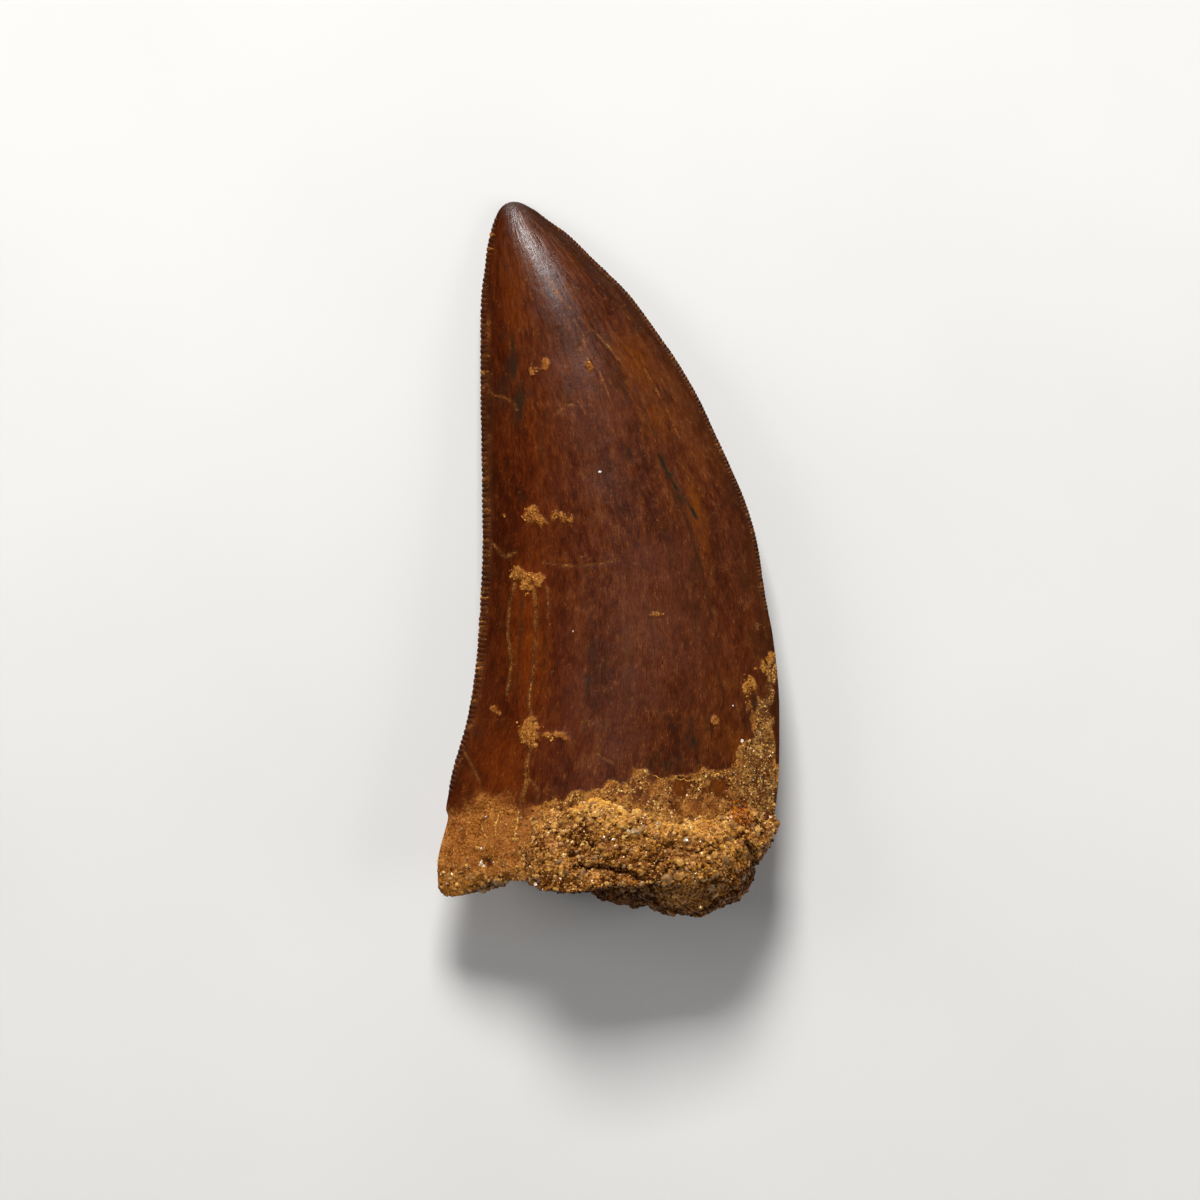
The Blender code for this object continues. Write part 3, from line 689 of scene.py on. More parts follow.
def denticle_mesh(name, blade, margin, side, saw, seed):
    """A row of small chisel-shaped denticles, each a ridge over both faces that ends in a rounded tooth."""
    rng = np.random.default_rng(seed)
    count = int(margin.length * (saw["end"] - saw["start"]) / saw["pitch"])
    share = np.linspace(saw["start"], saw["end"], count) + rng.normal(0, 0.012, count) * saw["pitch"] / 10
    worn = 1 - 0.35 * ramp(noise(np.stack([share * 40, share * 0, share * 0], axis=1), 1.5, seed), 0.2, 1.0)
    fade = ramp(share, saw["start"] - 0.02, saw["start"] + 0.05)
    fade = fade * (1 - 0.7 * ramp(share, saw["end"] - 0.1, saw["end"]))
    reach = saw["reach"] * (0.75 + 0.25 * fade) * rng.uniform(0.85, 1.1, count)
    steps = np.array([0, 0.05, 0.14, 0.26, 0.42, 0.62, 0.82, 1.0])
    girth = np.array([0.55, 0.86, 1.0, 1.0, 0.96, 0.88, 0.72, 0.4])
    proud = np.array([-0.02, 0.015, 0.035, 0.045, 0.04, 0.03, 0.01, -0.04])
    top = saw["height"] * worn * (0.5 + 0.5 * fade) * rng.uniform(0.8, 1.1, count)
    inward = -top[:, None] + (reach + top)[:, None] * steps[None, :]
    outward = margin.outward(share)
    along = np.stack([-outward[:, 1], outward[:, 0]], axis=1) * side
    across = side * (1 - np.clip(inward, 0, None) / blade.half_width(share)[:, None])
    shares = np.broadcast_to(share[:, None], across.shape)
    half_up = blade.depth(shares, across, 1)
    half_down = blade.depth(shares, across, -1)
    body = np.where(inward < 0.08, 0.05 + 0.03 * girth, 0)
    around = 10
    angle = (np.arange(around) + 0.5) / around * 2 * np.pi
    wide = 0.5 * saw["pitch"] * 0.94 * girth[None, :] * rng.uniform(0.92, 1.06, count)[:, None]
    sideways = wide[..., None] * np.sign(np.cos(angle)) * np.abs(np.cos(angle)) ** 0.8
    lift = np.sign(np.sin(angle)) * np.abs(np.sin(angle)) ** 0.8
    rise = proud * (0.45 + 0.55 * fade[:, None])
    up = np.maximum(half_up + rise, body)[..., None] * np.clip(lift, 0, None)
    down = np.maximum(half_down + rise, body)[..., None] * np.clip(lift, None, 0)
    lean = 0.12 * inward * fade[:, None]
    centre = margin.at(share)[:, None, :] - inward[..., None] * outward[:, None, :]
    centre = centre + lean[..., None] * along[:, None, :]
    plan = centre[:, :, None, :] + sideways[..., None] * along[:, None, None, :]
    z = blade.height(share)[:, None, None] + up + down
    rings = np.concatenate([plan, z[..., None]], axis=-1)
    points = rings.reshape(-1, 3)
    each = rings.shape[1] * around
    growth = np.stack([points[:, 0] * 0.3, np.repeat(LENGTH * share, each), points[:, 2]], axis=1)
    pale = 0.42 * rng.uniform(0, 1, count) ** 3
    tooth_end = np.broadcast_to(ramp(inward, 0.12, -0.1)[..., None], rings.shape[:3]).ravel()
    nothing = np.zeros(len(points))
    marks = dict(
        growth=growth,
        sand=np.repeat(pale, each),
        grit=nothing + 0.4,
        amber=np.clip(np.repeat(rng.uniform(0, 0.35, count), each) + 0.25 * tooth_end, 0, 1),
        stain_and_pit_shade=np.repeat(rng.uniform(0, 0.25, count), each),
        margin=np.repeat(rng.uniform(0.4, 0.85, count), each) * (1 - 0.5 * tooth_end),
    )
    return new_mesh(name, points, tubes(rings), **marks, plum=nothing, crumbly=nothing, crest=nothing)


class Ground:
    """A mesh that other pieces are laid on from above."""

    def __init__(self, mesh):
        self.mesh = mesh
        mesh.calc_loop_triangles()
        self.points = read(mesh.vertices, "co", 3) / MM
        self.triangles = read(mesh.loop_triangles, "vertices", 3, np.int32)
        self.tree = BVHTree.FromPolygons(self.points.tolist(), self.triangles.tolist())

    def drop(self, plan):
        """Places and normals straight under plan points, for those over the mesh."""
        rays = [self.tree.ray_cast(Vector((x, y, 60)), Vector((0, 0, -1))) for x, y in plan]
        hits = [(place, normal) for place, normal, _, _ in rays if place is not None]
        return np.array([place for place, _ in hits]), np.array([normal for _, normal in hits])

    def scatter(self, count, rng, weight=None):
        """Random places and normals on the mesh, by area or by a weight at each of its points."""
        corners = self.points[self.triangles]
        cross = np.cross(corners[:, 1] - corners[:, 0], corners[:, 2] - corners[:, 0])
        area = np.linalg.norm(cross, axis=1)
        chance = area if weight is None else area * weight[self.triangles].mean(axis=1)
        chosen = rng.choice(len(area), count, p=chance / chance.sum())
        a, b = rng.random((2, count, 1))
        a, b = np.where(a + b > 1, 1 - a, a), np.where(a + b > 1, 1 - b, b)
        c = corners[chosen]
        places = c[:, 0] + a * (c[:, 1] - c[:, 0]) + b * (c[:, 2] - c[:, 0])
        return places, cross[chosen] / area[chosen, None]


def crack_mesh(ground):
    """The pale sand in the cracks, as thin broken ribbons a hair above the enamel."""
    rng = np.random.default_rng(71)
    points, faces = [], []
    total = 0
    for half_width, line in CRACKS:
        line = smooth_line(line, 40)
        steps = np.concatenate([[0], np.cumsum(np.linalg.norm(np.diff(line, axis=0), axis=1))])
        where = np.arange(0, steps[-1], 0.05)
        line = np.stack([np.interp(where, steps, line[:, i]) for i in (0, 1)], axis=1)
        tangent = np.gradient(line, axis=0)
        tangent /= np.linalg.norm(tangent, axis=1)[:, None]
        normal = np.stack([-tangent[:, 1], tangent[:, 0]], axis=1)
        wander = noise(np.stack([where, line[:, 0] * 3, where * 0], axis=1), 0.5, 75, 3)
        line += normal * (0.09 * wander + rng.normal(0, 0.15 * half_width, len(line)))[:, None]
        places, _ = ground.drop(line)
        if len(places) != len(line):
            continue
        full = noise(np.stack([where * 0, where, line[:, 1]], axis=1), 0.8, 77)
        filled = np.concatenate([[False], full > -0.45 - 3 * half_width, [False]])
        breaks = np.flatnonzero(np.diff(filled.astype(int)))
        for start, end in zip(breaks[::2], breaks[1::2]):
            run = slice(start, end)
            if end - start < 4:
                continue
            along = np.linspace(0, 1, end - start)
            width = half_width * rng.uniform(0.3, 1.05, end - start) * (0.25 + np.sin(np.pi * along) ** 0.5)
            crest = rng.uniform(0.008, 0.03, end - start)
            section = ((-1, -0.6), (-0.55, 1), (0.1, 1.2), (0.6, 0.8), (1, -0.6), (0, -1.5))
            ring = []
            for u, w in section[::-1]:
                side = places[run, :2] + u * width[:, None] * normal[run]
                ring.append(np.column_stack([side, places[run, 2] + w * crest]))
            ring = np.stack(ring, axis=1)[None]
            faces += [[i + total for i in f] for f in tubes(ring)]
            points.append(ring.reshape(-1, 3))
            total += len(points[-1])
    points = np.vstack(points)
    tone = 0.2 + 0.2 * noise(points, 0.25, 73)
    tone = tone + 0.48 * ramp(-points[:, 1], 15.8, 16.4) + 0.6 * ramp(points[:, 0], 2, 3)
    return new_mesh("sand_in_cracks", points, faces, tone=tone, orange=tone * 0)


def ball(detail):
    """Points and faces of a unit icosphere."""
    bm = bmesh.new()
    bmesh.ops.create_icosphere(bm, subdivisions=detail, radius=1.0)
    points = np.array([v.co[:] for v in bm.verts])
    faces = np.array([[v.index for v in f.verts] for f in bm.faces])
    bm.free()
    return points, faces


def grain_mesh(name, places, normals, radius, rng, tone, flat, sunk, rough=0.22, detail=1):
    """Angular grains of sand bedded in a surface, fused into one mesh."""
    shape, corners = ball(detail)
    count = len(places)
    spin = rng.normal(size=(count, 3))
    first = np.cross(normals, spin)
    first /= np.linalg.norm(first, axis=1)[:, None]
    second = np.cross(normals, first)
    stretch = radius[:, None] * rng.uniform(0.75, 1.2, (count, 3)) * (1, 1, flat)
    body = shape[None] * stretch[:, None, :] * (1 + rough * rng.uniform(-1, 1, (count, len(shape), 1)))
    axes = np.stack([first, second, normals], axis=1)
    points = np.einsum("nvi,nij->nvj", body, axes)
    points += (places + normals * (stretch[:, 2] * (1 - 2 * sunk))[:, None])[:, None, :]
    faces = (corners[None] + (np.arange(count) * len(shape))[:, None, None]).reshape(-1, 3)
    points = points.reshape(-1, 3)
    points[:, 2] = np.maximum(points[:, 2], 0)
    orange = np.repeat(patches(places[:, :2], ORANGE), len(shape))
    return new_mesh(name, points, faces.tolist(), False, tone=np.repeat(tone, len(shape)), orange=orange)


def evaluated_mesh(obj):
    bpy.context.view_layer.update()
    graph = bpy.context.evaluated_depsgraph_get()
    return bpy.data.meshes.new_from_object(obj.evaluated_get(graph))


def shell_mesh():
    """The blade swollen by the crust's thickness, which fades out towards its upper and left edges."""
    share = np.linspace(0.55, 1, 90)
    across = np.concatenate([np.linspace(-1, 1, 97), np.linspace(1, -1, 49)[1:-1]])
    face = np.concatenate([np.ones(97), -np.ones(47)])
    shares, acrosses = np.broadcast_arrays(share[:, None], across[None, :])
    faces = np.broadcast_to(face, shares.shape)
    inner = Blade(sawn=False, swelling=-0.3).points(shares, acrosses, faces)
    outer = Blade(sawn=False, swelling=CRUST_THICKNESS).points(shares, acrosses, faces)
    outer[-1, :, 1] -= CRUST_THICKNESS
    flat = inner.reshape(-1, 3)
    x, y = flat[:, 0], flat[:, 1]
    taper = 0.75 + 1.3 * ramp(-x, 0.4, 4.0) + 2.6 * ramp(x, 6.5, 8.6)
    away = np.where(depth_inside(flat[:, :2], CRUST_OUTLINE) > 0, 1, -1)
    away = away * line_distance(flat[:, :2], np.array(UPPER_EDGE))
    thick = ramp(away + 0.3 * noise(flat, 1.2, 93, 3) + 0.2 * noise(flat, 0.5, 94), 0, taper)
    thick *= 1 - 0.62 * ramp(x, 8.0, 9.8) * ramp(y, -18.5, -15.5)
    rings = inner + thick.reshape(shares.shape)[..., None] * (outer - inner)
    return new_mesh("crust_shell", rings.reshape(-1, 3), tubes(rings[None]))


def outline_block():
    """A tall block over the crust's outline in plan."""
    loop = np.array(CRUST_OUTLINE)
    rings = np.stack([np.column_stack([loop, np.full(len(loop), z)]) for z in (-10, 20)])
    return new_mesh("crust_outline", rings.reshape(-1, 3), tubes(rings[None]))


def crust_solid():
    """The swollen shell inside the crust's outline, grown together with the lumps at the broken end."""
    shell = bpy.data.objects.new("shell", shell_mesh())
    block = bpy.data.objects.new("block", outline_block())
    for obj in (shell, block):
        bpy.context.scene.collection.objects.link(obj)
        bm = bmesh.new()
        bm.from_mesh(obj.data)
        bmesh.ops.recalc_face_normals(bm, faces=bm.faces)
        bm.to_mesh(obj.data)
        bm.free()
    cut = shell.modifiers.new("cut", "BOOLEAN")
    cut.operation = "INTERSECT"
    cut.object = block
    mesh = evaluated_mesh(shell)
    shape, corners = ball(4)
    bm = bmesh.new()
    bm.from_mesh(mesh)
    for centre, radii in END_LUMPS:
        verts = [bm.verts.new((np.array(centre) + p * radii) * MM) for p in shape]
        for face in corners:
            bm.faces.new([verts[i] for i in face])
    bm.to_mesh(mesh)
    bm.free()
    body = bpy.data.objects.new("body", mesh)
    bpy.context.scene.collection.objects.link(body)
    remesh = body.modifiers.new("one skin", "REMESH")
    remesh.mode = "VOXEL"
    remesh.voxel_size = CRUST_VOXEL * MM
    mesh = evaluated_mesh(body)
    for obj in (shell, block, body):
        bpy.data.objects.remove(obj)
    return mesh


def crust_mesh():
    """The sandstone's body, weathered by noise and cut by clefts."""
    mesh = crust_solid()
    points = read(mesh.vertices, "co", 3) / MM
    normals = read(mesh.vertex_normals, "vector", 3)
    plan = points[:, :2]
    thin = ramp(plan[:, 1], -16.8, -13.6) * ramp(plan[:, 0], 6.8, 8.6)
    move = 0.24 * noise(points, 2.4, 81) + 0.2 * noise(points, 0.95, 83) - 0.12
    move -= 0.14 * ramp(noise(points, 1.3, 85), 0.35, 0.9)
    move += 0.13 * noise(points, 0.5, 87) + 0.06 * noise(points, 0.24, 88)
    move *= (1 - 0.7 * thin) * (1 - 0.5 * ramp(-plan[:, 0], 1.5, 4.0))
    wandering = plan + 0.12 * noise(points, 0.5, 89)[:, None]
    for width, deep, line in CLEFTS:
        move -= deep * (points[:, 2] > 4.5) * bell(away_from(wandering, line, 8), width)
    points += normals * move[:, None]
    points[:, 2] = np.maximum(points[:, 2], 0)
    faces = [list(p.vertices) for p in mesh.polygons]
    # Tone follows the displacement: clefts and dents come out darker and bumps lighter, painted shade and
    # light.
    tone = 0.45 + 0.24 * noise(points, 1.1, 91, 3) + 0.6 * move
    tone, orange = paint_ledge_light_and_rim_shade(points, tone), patches(plan, ORANGE)
    return new_mesh("sandstone_body", points, faces, tone=tone, orange=orange)


def paint_ledge_light_and_rim_shade(points, tone):
    """Painted light and shade: sandstone is yellower along the crust's upper ledge, where the light falls,
    and darker towards its lower rim and low down, where shade falls.
    """
    plan = points[:, :2]
    x, y, z = points.T
    # Painted light: a lighter band along the upper ledge, where the key light falls.
    ledge = (0.08 + 0.12 * ramp(x, -4.0, -1.0)) * bell(line_distance(plan, np.array(CRUST_OUTLINE[:12])), 0.6)
    # Painted shade: darker below the lit edge and lower down.
    below = np.interp(x, *zip(*LIT_EDGE)) - y
    rim = 0.8 * ramp(below + 0.25 * noise(points, 0.9, 95), -0.3, 0.6) + 0.5 * ramp(5.5 - z, 0, 4)
    return tone + ledge + patches(plan, YELLOW) - 0.3 * np.minimum(rim, 1)


class Nodes:
    """A node material built up from its Principled shader."""

    def __init__(self, name):
        self.material = bpy.data.materials.new(name)
        self.material.use_nodes = True
        self.tree = self.material.node_tree
        self.shader = self.tree.nodes["Principled BSDF"]
        self.coords = self.tree.nodes.new("ShaderNodeTexCoord").outputs["Object"]

    def node(self, kind, settings=(), **inputs):
        made = self.tree.nodes.new(kind)
        for key, value in dict(settings).items():
            setattr(made, key, value)
        for key, value in inputs.items():
            self.feed(made.inputs[key.replace("_", " ")], value)
        return made

    def feed(self, socket, value):
        if isinstance(value, bpy.types.NodeSocket):
            self.tree.links.new(value, socket)
        else:
            socket.default_value = value

    def attribute(self, name, output="Fac"):
        return self.node("ShaderNodeAttribute", {"attribute_name": name}).outputs[output]

    def stretch(self, vector, scale):
        made = self.node("ShaderNodeVectorMath", {"operation": "MULTIPLY"})
        self.feed(made.inputs[0], vector)
        made.inputs[1].default_value = scale
        return made.outputs[0]

    def noise(self, vector, scale, detail=3.0, roughness=0.55):
        made = self.node("ShaderNodeTexNoise", Vector=vector, Scale=scale, Detail=detail, Roughness=roughness)
        return made.outputs["Fac"]

    def cells(self, scale):
        return self.node("ShaderNodeTexVoronoi", Vector=self.coords, Scale=scale).outputs["Distance"]

    def axis(self, vector, name):
        return self.node("ShaderNodeSeparateXYZ", Vector=vector).outputs[name]

    def math(self, operation, a, b):
        made = self.node("ShaderNodeMath", {"operation": operation})
        self.feed(made.inputs[0], a)
        self.feed(made.inputs[1], b)
        return made.outputs[0]

    def plus(self, a, b):
        return self.math("ADD", a, b)

    def times(self, a, b):
        return self.math("MULTIPLY", a, b)

    def step(self, value, low, high, to_low=0.0, to_high=1.0):
        made = self.node("ShaderNodeMapRange", {"interpolation_type": "SMOOTHSTEP"}, Value=value)
        for key, number in (("From Min", low), ("From Max", high), ("To Min", to_low), ("To Max", to_high)):
            made.inputs[key].default_value = number
        return made.outputs["Result"]

    def colours(self, value, stops):
        made = self.node("ShaderNodeValToRGB", Fac=value)
        band = made.color_ramp
        while len(band.elements) < len(stops):
            band.elements.new(0.5)
        for element, (place, *colour) in zip(band.elements, stops):
            element.position = place
            element.color = (*colour, 1)
        return made.outputs["Color"]

    def mix(self, share, a, b):
        made = self.node("ShaderNodeMix", {"data_type": "RGBA"})
        for socket, value in zip((made.inputs[0], made.inputs[6], made.inputs[7]), (share, a, b)):
            self.feed(socket, (*value, 1) if isinstance(value, tuple) else value)
        return made.outputs[2]

    def paint(self, colour, *coats):
        """Coats of colour laid over each other, each a share and a tint."""
        for share, tint in coats:
            colour = self.mix(share, colour, tint)
        return colour

    def bump(self, height, depth, strength=1.0, under=None):
        made = self.node("ShaderNodeBump", Height=height, Distance=depth * MM, Strength=strength)
        if under is not None:
            self.feed(made.inputs["Normal"], under)
        return made.outputs["Normal"]

    def finish(self, **inputs):
        for key, value in inputs.items():
            self.feed(self.shader.inputs[key.replace("_", " ")], value)
        return self.material


def enamel_material():
    """Old brown enamel: streaked along its growth, amber where thin, stained, with painted shade in the
    hollows at the broken end, satin, and sandy in places.
    """
    m = Nodes("enamel")
    growth = m.attribute("growth", "Vector")
    across, along = m.axis(growth, "X"), m.axis(growth, "Y")
    fibre = m.noise(m.stretch(growth, (10.0, 1.5, 1.2)), 1.0, 4.0, 0.7)
    ticks = m.noise(m.stretch(growth, (13.0, 2.4, 2.0)), 1.0, 4.0, 0.7)
    mottle = m.noise(m.stretch(growth, (1.9, 0.8, 1.0)), 1.0, 4.0, 0.6)
    broad = m.noise(m.stretch(growth, (0.6, 0.14, 0.5)), 1.0, 3.0, 0.5)
    cloud = m.noise(m.coords, 420.0, 4.0, 0.6)
    speck = m.noise(m.coords, 1500.0, 6.0, 0.8)
    dimple = m.noise(m.coords, 1300.0, 4.0, 0.65)
    smudge = m.noise(m.stretch(m.coords, (1.0, 0.6, 1.0)), 1000.0, 3.0, 0.6)

    amber = m.times(m.attribute("amber"), m.step(mottle, 0.35, 0.6, 0.5, 1.0))
    plum = m.times(m.attribute("plum"), m.step(cloud, 0.35, 0.6, 0.4, 1.0))
    gilded = m.times(m.step(ticks, 0.56, 0.66, 0.0, 0.75), m.step(mottle, 0.46, 0.62, 0.1, 1.0))
    # Stains, and painted shade in the hollows at the broken end.
    stain_and_pit_shade = m.times(m.attribute("stain_and_pit_shade"), m.step(mottle, 0.3, 0.6, 0.8, 1.15))
    base = m.paint(
        m.colours(m.plus(m.times(mottle, 0.55), m.times(broad, 0.45)), ENAMEL),
        (m.step(cloud, 0.5, 0.68, 0.0, 0.55), (0.070, 0.0135, 0.0046)),
        (amber, (0.132, 0.030, 0.0016)),
        (plum, (0.092, 0.024, 0.011)),
        (m.step(fibre, 0.47, 0.33, 0.0, 0.64), (0.018, 0.0036, 0.0008)),
        (m.step(fibre, 0.53, 0.66, 0.0, 0.46), (0.140, 0.038, 0.0085)),
        (gilded, (0.240, 0.096, 0.025)),
        (m.step(ticks, 0.45, 0.33, 0.0, 0.8), (0.014, 0.0034, 0.0010)),
        (m.times(m.attribute("margin"), 0.75), (0.026, 0.007, 0.0016)),
    )
    base = m.mix(m.step(across, -8.0, 1.0, 1.0, 0.0), base, m.stretch(base, (0.92, 0.66, 0.34)))
    base = m.paint(
        base,
        (m.step(smudge, 0.56, 0.7, 0.0, 0.45), (0.030, 0.009, 0.003)),
        (stain_and_pit_shade, (0.019, 0.0105, 0.0045)),
        (m.step(speck, 0.66, 0.73, 0.0, 0.7), (0.28, 0.15, 0.068)),
        (m.times(m.attribute("sand"), 0.5), (0.215, 0.066, 0.013)),
    )

    fine = m.noise(m.coords, 6500.0, 3.0, 0.7)
    blot = m.noise(m.coords, 1500.0, 3.0, 0.6)
    spread = m.plus(m.step(fine, 0.25, 0.75, -0.3, 0.3), m.step(blot, 0.3, 0.7, -0.25, 0.25))
    crisp = m.step(m.plus(m.attribute("sand"), spread), 0.3, 0.72)
    faint = m.step(m.plus(m.attribute("sand"), m.times(spread, 0.6)), 0.1, 1.0)
    share = m.step(m.plus(m.attribute("grit"), m.attribute("crumbly")), 0.1, 0.45)
    cover = m.plus(m.times(crisp, share), m.times(faint, m.math("SUBTRACT", 1.0, share)))
    grain = m.plus(m.times(fine, 0.6), m.times(blot, 0.4))
    film = m.mix(m.step(cloud, 0.45, 0.6, 0.0, 0.6), m.colours(grain, FILM), (0.270, 0.088, 0.020))
    upright = m.noise(m.stretch(m.coords, (1.0, 0.4, 1.0)), 5200.0, 4.0, 0.75)
    upright = m.plus(upright, m.step(blot, 0.35, 0.65, -0.05, 0.05))
    eastward = m.step(m.axis(m.coords, "X"), 0.0075, 0.0092)
    crumbs = m.mix(eastward, m.colours(upright, RUSTY), m.colours(upright, OLIVE))
    dirt = m.paint(
        film,
        (m.attribute("grit"), m.colours(grain, GRITTY_FILM)),
        (m.times(m.attribute("crumbly"), 0.85), crumbs),
        # Stained film is darker, and so is the film in the hollows at the broken end: painted shade.
        (m.times(m.attribute("stain_and_pit_shade"), m.step(blot, 0.4, 0.6, 0.1, 0.9)), (0.05, 0.022, 0.008)),
        (m.times(m.attribute("crumbly"), m.step(m.cells(4200.0), 0.5, 0.72, 0.0, 0.6)), (0.055, 0.02, 0.005)),
    )

    polish = m.plus(m.times(m.attribute("crest"), 0.48), m.step(across, -9.0, -1.5, 0.03, 0.08))
    satin = m.plus(m.step(along, 1.0, 12.0, 0.22, 0.36), m.step(dimple, 0.35, 0.65, -0.05, 0.1))
    ridges = m.bump(fibre, 0.022, 0.6, m.bump(dimple, 0.075, 0.6))
    grit = m.times(cover, m.plus(grain, m.times(m.cells(5200.0), -0.5)))
    return m.finish(
        Base_Color=m.mix(cover, base, dirt),
        Roughness=m.plus(satin, m.times(cover, 0.45)),
        Normal=m.bump(grit, 0.09, 0.9, m.bump(ticks, 0.018, 0.6, ridges)),
        Specular_IOR_Level=m.times(polish, m.step(cover, 0.1, 0.9, 1.0, 0.3)),
    )


def sand_material(name, grain_size, pale=0.0):
    """Ochre sandstone, from dark hollows to pale grains, by the tone at each point and fine mottling; on the
    crust the dark of the hollows and lower rim is painted shade, and the pale upper ledge painted light.
    """
    m = Nodes(name)
    mottle = m.noise(m.coords, 1000.0 / grain_size, 3.0, 0.7)
    patch = m.noise(m.coords, 420.0, 3.0, 0.6)
    tone = m.plus(m.attribute("tone"), m.step(mottle, 0.25, 0.75, -0.36 + pale, 0.34 + pale))
    tone = m.plus(tone, m.step(patch, 0.3, 0.7, -0.12, 0.12))
    rusted = m.times(m.attribute("orange"), m.step(mottle, 0.3, 0.5, 0.6, 1.0))
    return m.finish(
        Base_Color=m.mix(rusted, m.colours(tone, SANDSTONE), m.colours(tone, RUST)),
        Roughness=m.step(mottle, 0.2, 0.8, 0.9, 0.35),
        Normal=m.bump(mottle, 0.3 * grain_size, 0.7),
        Specular_IOR_Level=m.step(tone, 0.1, 0.7, 0.03, 0.4),
    )


def grain_material(name, clear, ior, ramp_colours):
    """Glossy grains of quartz, coloured by the tone at each point, some of them greyer than the rest."""
    m = Nodes(name)
    cloud = m.noise(m.coords, 1900.0, 3.0, 0.6)
    tone = m.plus(m.attribute("tone"), m.step(cloud, 0.25, 0.75, -0.2, 0.2))
    grey = m.step(m.noise(m.coords, 2300.0, 2.0, 0.5), 0.56, 0.66, 0.0, 0.4)
    grey = m.times(grey, m.step(tone, 0.2, 0.45))
    colour = m.mix(grey, m.colours(tone, ramp_colours), (0.3, 0.175, 0.08))
    return m.finish(
        Base_Color=m.mix(m.attribute("orange"), colour, m.colours(tone, RUST)),
        Roughness=m.step(cloud, 0.3, 0.7, 0.32, 0.1),
        Normal=m.bump(cloud, 0.06, 0.8),
        Transmission_Weight=clear,
        IOR=ior,
        Specular_IOR_Level=m.step(tone, 0.15, 0.65, 0.05, 0.5),
    )


def floor_material():
    m = Nodes("pale_floor")
    cloud = m.noise(m.coords, 30.0, 3.0, 0.5)
    return m.finish(Base_Color=m.colours(cloud, FLOOR), Roughness=0.8)


def add_light(name, place, size, watts, diffuse=True, glossy=True):
    """A square soft light that faces the tooth, seen by matt shading, by highlights or by both."""
    data = bpy.data.lights.new(name, "AREA")
    data.size = size * MM
    data.energy = watts
    obj = bpy.data.objects.new(name, data)
    obj.visible_diffuse = diffuse
    obj.visible_glossy = glossy
    obj.location = Vector(place) * MM
    obj.rotation_euler = (-obj.location).to_track_quat("-Z", "Y").to_euler()
    bpy.context.scene.collection.objects.link(obj)


def studio():
    """A pale floor, soft lights and the camera straight above, as far away as the photographer's."""
    bm = bmesh.new()
    bmesh.ops.create_grid(bm, x_segments=2, y_segments=2, size=1.5)
    mesh = bpy.data.meshes.new("floor")
    bm.to_mesh(mesh)
    bm.free()
    mesh.materials.append(floor_material())
    floor = bpy.data.objects.new("floor", mesh)
    bpy.context.scene.collection.objects.link(floor)

    add_light("key", (-40, 335, 315), 150, 2.75)
    add_light("sheen", (-25, 190, 330), 110, 0.08, diffuse=False)
    add_light("left", (-380, 60, 230), 260, 0.5, glossy=False)
    add_light("right", (360, -60, 230), 260, 0.45, glossy=False)
    world = bpy.data.worlds.new("soft room")
    world.use_nodes = True
    world.node_tree.nodes["Background"].inputs["Color"].default_value = (0.95, 0.97, 1.0, 1.0)
    world.node_tree.nodes["Background"].inputs["Strength"].default_value = 0.12
    bpy.context.scene.world = world

    data = bpy.data.cameras.new("camera")
    data.sensor_width = 36
    data.lens = 36 * (CAMERA_HEIGHT - 5) / PICTURE_HEIGHT
    data.clip_start = 0.01
    data.clip_end = 10
    camera = bpy.data.objects.new("camera", data)
    camera.location = Vector((*PICTURE_CENTRE, CAMERA_HEIGHT)) * MM
    bpy.context.scene.collection.objects.link(camera)
    bpy.context.scene.camera = camera
    bpy.context.scene.view_settings.view_transform = "Standard"


def sand_on_tooth(ground):
    """Fine grains on the sandy film and in the raised patches."""
    rng = np.random.default_rng(101)
    cover = read_attribute(ground.mesh, "sand")
    film_places, film_normals = ground.scatter(FILM_GRAINS, rng, np.where(cover > 0.7, cover, 0))
    heaps = []
    for x, y, half_width, half_height, count in SAND_PATCHES:
        count = count // 3 + 1
        angle = rng.uniform(0, 2 * np.pi, count)
        lobes = 1 + 0.35 * np.sin(3 * angle + x * 7) + 0.2 * np.sin(5 * angle + y * 5)
        away = np.sqrt(rng.random(count)) * lobes
        reach = (half_width * away * np.cos(angle), half_height * away * np.sin(angle))
        heaps.append(np.stack(reach, axis=1) + (x, y))
    heap_places, heap_normals = ground.drop(np.vstack(heaps))
    places = np.vstack([film_places, heap_places])
    normals = np.vstack([film_normals, heap_normals])
    radius = np.concatenate(
        [rng.uniform(0.02, 0.055, len(film_places)), rng.uniform(0.03, 0.075, len(heap_places))]
    )
    tone = np.clip(0.42 + rng.normal(0, 0.13, len(places)), 0, 1)
    return grain_mesh("sand_on_enamel", places, normals, radius, rng, tone, flat=0.6, sunk=0.42)


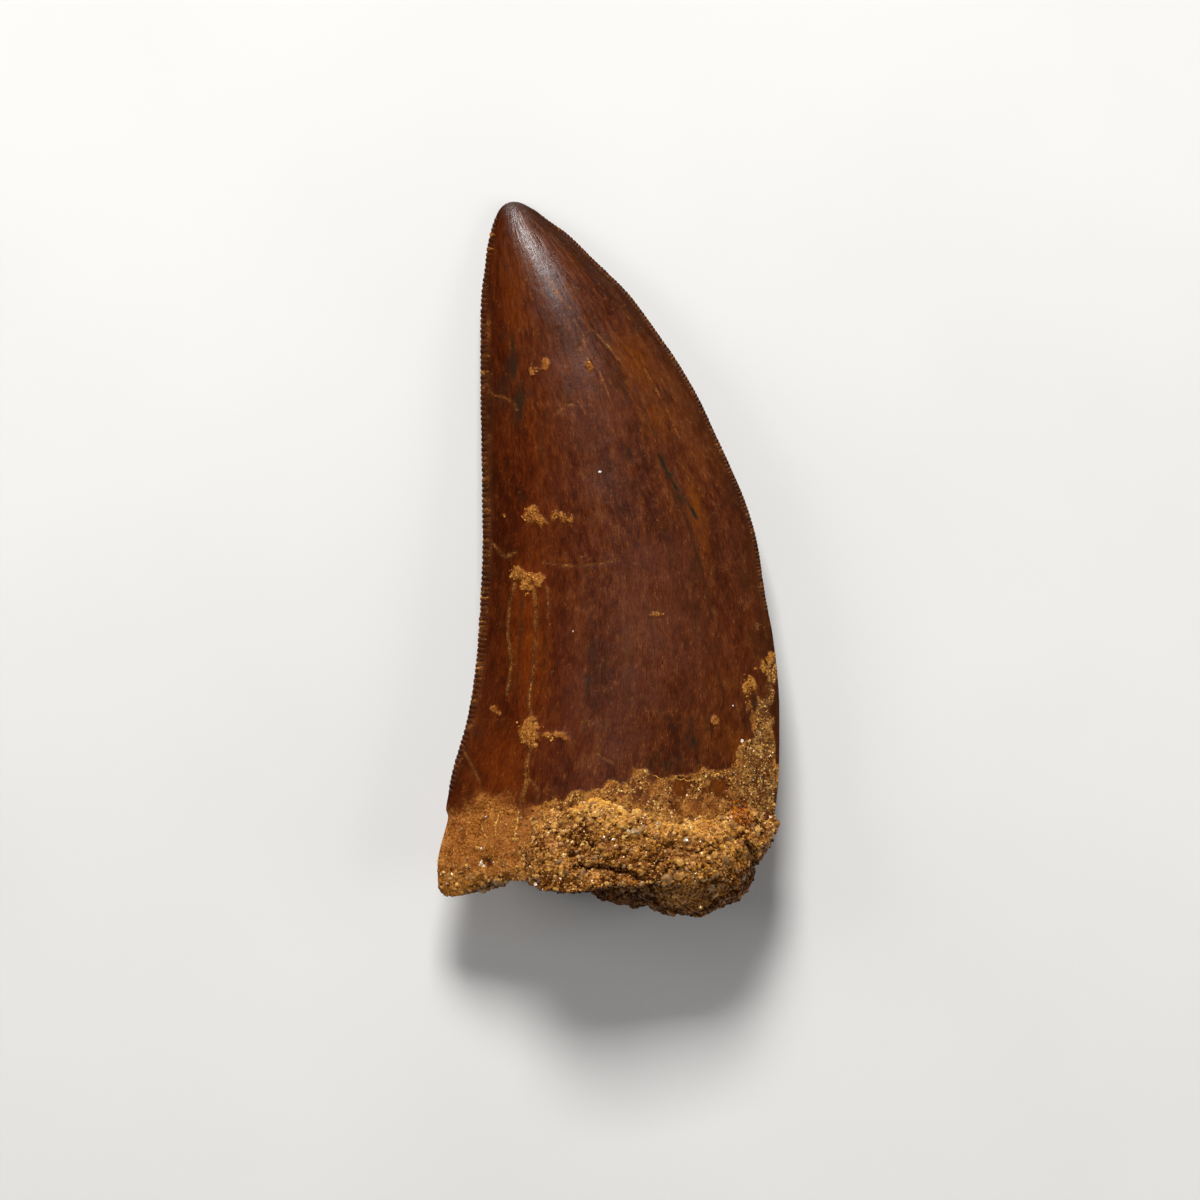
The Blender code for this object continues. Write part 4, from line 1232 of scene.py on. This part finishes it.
def grit_on_root(ground):
    """Coarser grains that lead over from the root's film to the crust, nodules at the end, and crumbs."""
    rng = np.random.default_rng(105)
    cover, crumbly = read_attribute(ground.mesh, "sand"), read_attribute(ground.mesh, "crumbly")
    x, y, z = ground.points.T
    near = ramp(x, -7.2, -4.4) * (1 - ramp(x, -3, -2)) * ramp(-y, 16.0, 17.0)
    near = near + 0.9 * ramp(-y, 19.2, 20.6) * (x < -3)
    near = near + 0.05 * (x < -3)
    low = ramp(-y, 20.2, 20.7) * (z > 4.5) * ramp(x, -8.8, -8.0) * (x < -4.0)
    laid = [ground.scatter(ROOT_GRAINS, rng, (cover > 0.6) * (y > -22) * (z > 3) * near)]
    radius = 0.05 + 0.13 * rng.random(ROOT_GRAINS) ** 2
    laid.append(ground.scatter(NODULES, rng, low))
    laid.append(ground.scatter(CRUMBS, rng, (cover > 0.45) * crumbly**2 * (y > -17.5) * (z > 2)))
    places, normals = (np.vstack(each) for each in zip(*laid))
    nodules = rng.uniform(0.16, 0.4, NODULES)
    radius = np.concatenate([radius, nodules, 0.035 + 0.075 * rng.random(CRUMBS) ** 2])
    wide = np.where(places[:, 0] > -4.2, 0.24, 0.13)
    tone = np.clip(0.48 + wide * rng.normal(0, 1, len(places)), 0, 1)
    return grain_mesh("grit_on_root", places, normals, radius, rng, tone, flat=0.8, sunk=0.55, rough=0.25)


def sand_on_crust(ground):
    """Rounded and angular quartz grains, and finer matt ones, all over the sandstone."""
    rng = np.random.default_rng(111)
    lit = 0.35 + 0.65 * ramp(ground.points[:, 2], 2, 6)
    pieces = []
    for name, count, small, large, sunk, rough, detail in (
        ("rounded_sand", 900, 0.14, 0.34, 0.76, 0.16, 2),
        ("angular_sand", 8500, 0.06, 0.15, 0.5, 0.34, 1),
        ("fine_sand", 7500, 0.03, 0.07, 0.4, 0.35, 1),
    ):
        places, normals = ground.scatter(count, rng, lit)
        keep = places[:, 2] > 0.15
        places, normals = places[keep], normals[keep]
        radius = small + (large - small) * rng.random(len(places)) ** 2.2
        # The grains take the same painted ledge light and rim shade as the crust.
        tone = paint_ledge_light_and_rim_shade(places, 0.52 + rng.normal(0, 0.19, len(places)))
        pieces.append(grain_mesh(name, places, normals, radius, rng, tone, 0.8, sunk, rough, detail))
    return pieces


def clear_grains(ground, tooth_ground):
    """The largest clear grains, where the photograph shows glints, and small ones scattered between."""
    rng = np.random.default_rng(121)
    places, normals, radius, tone = [], [], [], []
    # The palest of these grains come out near white: painted highlights.
    for place, size, shade in QUARTZ_AND_GLINTS:
        for under in (ground, tooth_ground):
            hit, normal = under.drop([place])
            if len(hit):
                places.append(hit[0])
                normals.append(normal[0])
                radius.append(size)
                tone.append(shade)
                break
    more_places, more_normals = ground.scatter(CLEAR_GRAINS, rng)
    keep = more_places[:, 2] > 0.4
    places = np.vstack([*places, more_places[keep]])
    normals = np.vstack([*normals, more_normals[keep]])
    radius = np.concatenate([radius, rng.uniform(0.1, 0.24, keep.sum())])
    tone = np.concatenate([tone, rng.uniform(0.2, 0.75, keep.sum())])
    return grain_mesh("clear_grains", places, normals, radius, rng, tone, 0.7, 0.7, rough=0.16, detail=2)


def main():
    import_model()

    blade = Blade()
    enamel = enamel_material()
    tooth = tooth_mesh(blade)
    add_piece(tooth, enamel, "tooth")
    for name, margin, side, saw, seed in (
        ("back_denticles", blade.back, -1, BACK_SAW, 131),
        ("front_denticles", blade.front, 1, FRONT_SAW, 133),
    ):
        add_piece(denticle_mesh(name, blade, margin, side, saw, seed), enamel, "tooth")
    on_tooth = Ground(tooth)
    film_sand = sand_material("film_sand", 0.12, 0.03)
    add_piece(crack_mesh(on_tooth), film_sand, "tooth")
    add_piece(sand_on_tooth(on_tooth), film_sand, "tooth")

    crust = crust_mesh()
    on_crust = Ground(crust)
    rock = sand_material("sandstone", 0.2)
    quartz = grain_material("quartz", 0.0, 1.42, HONEY)
    glass = grain_material("clear_quartz", 0.2, 1.5, GLASS)
    rounded, angular, fine = sand_on_crust(on_crust)
    clear = clear_grains(on_crust, on_tooth)
    for mesh, material in ((crust, rock), (fine, rock), (rounded, quartz), (angular, quartz), (clear, glass)):
        add_piece(mesh, material, "sandstone")
    add_piece(grit_on_root(on_tooth), quartz, "tooth")

    studio()


main()
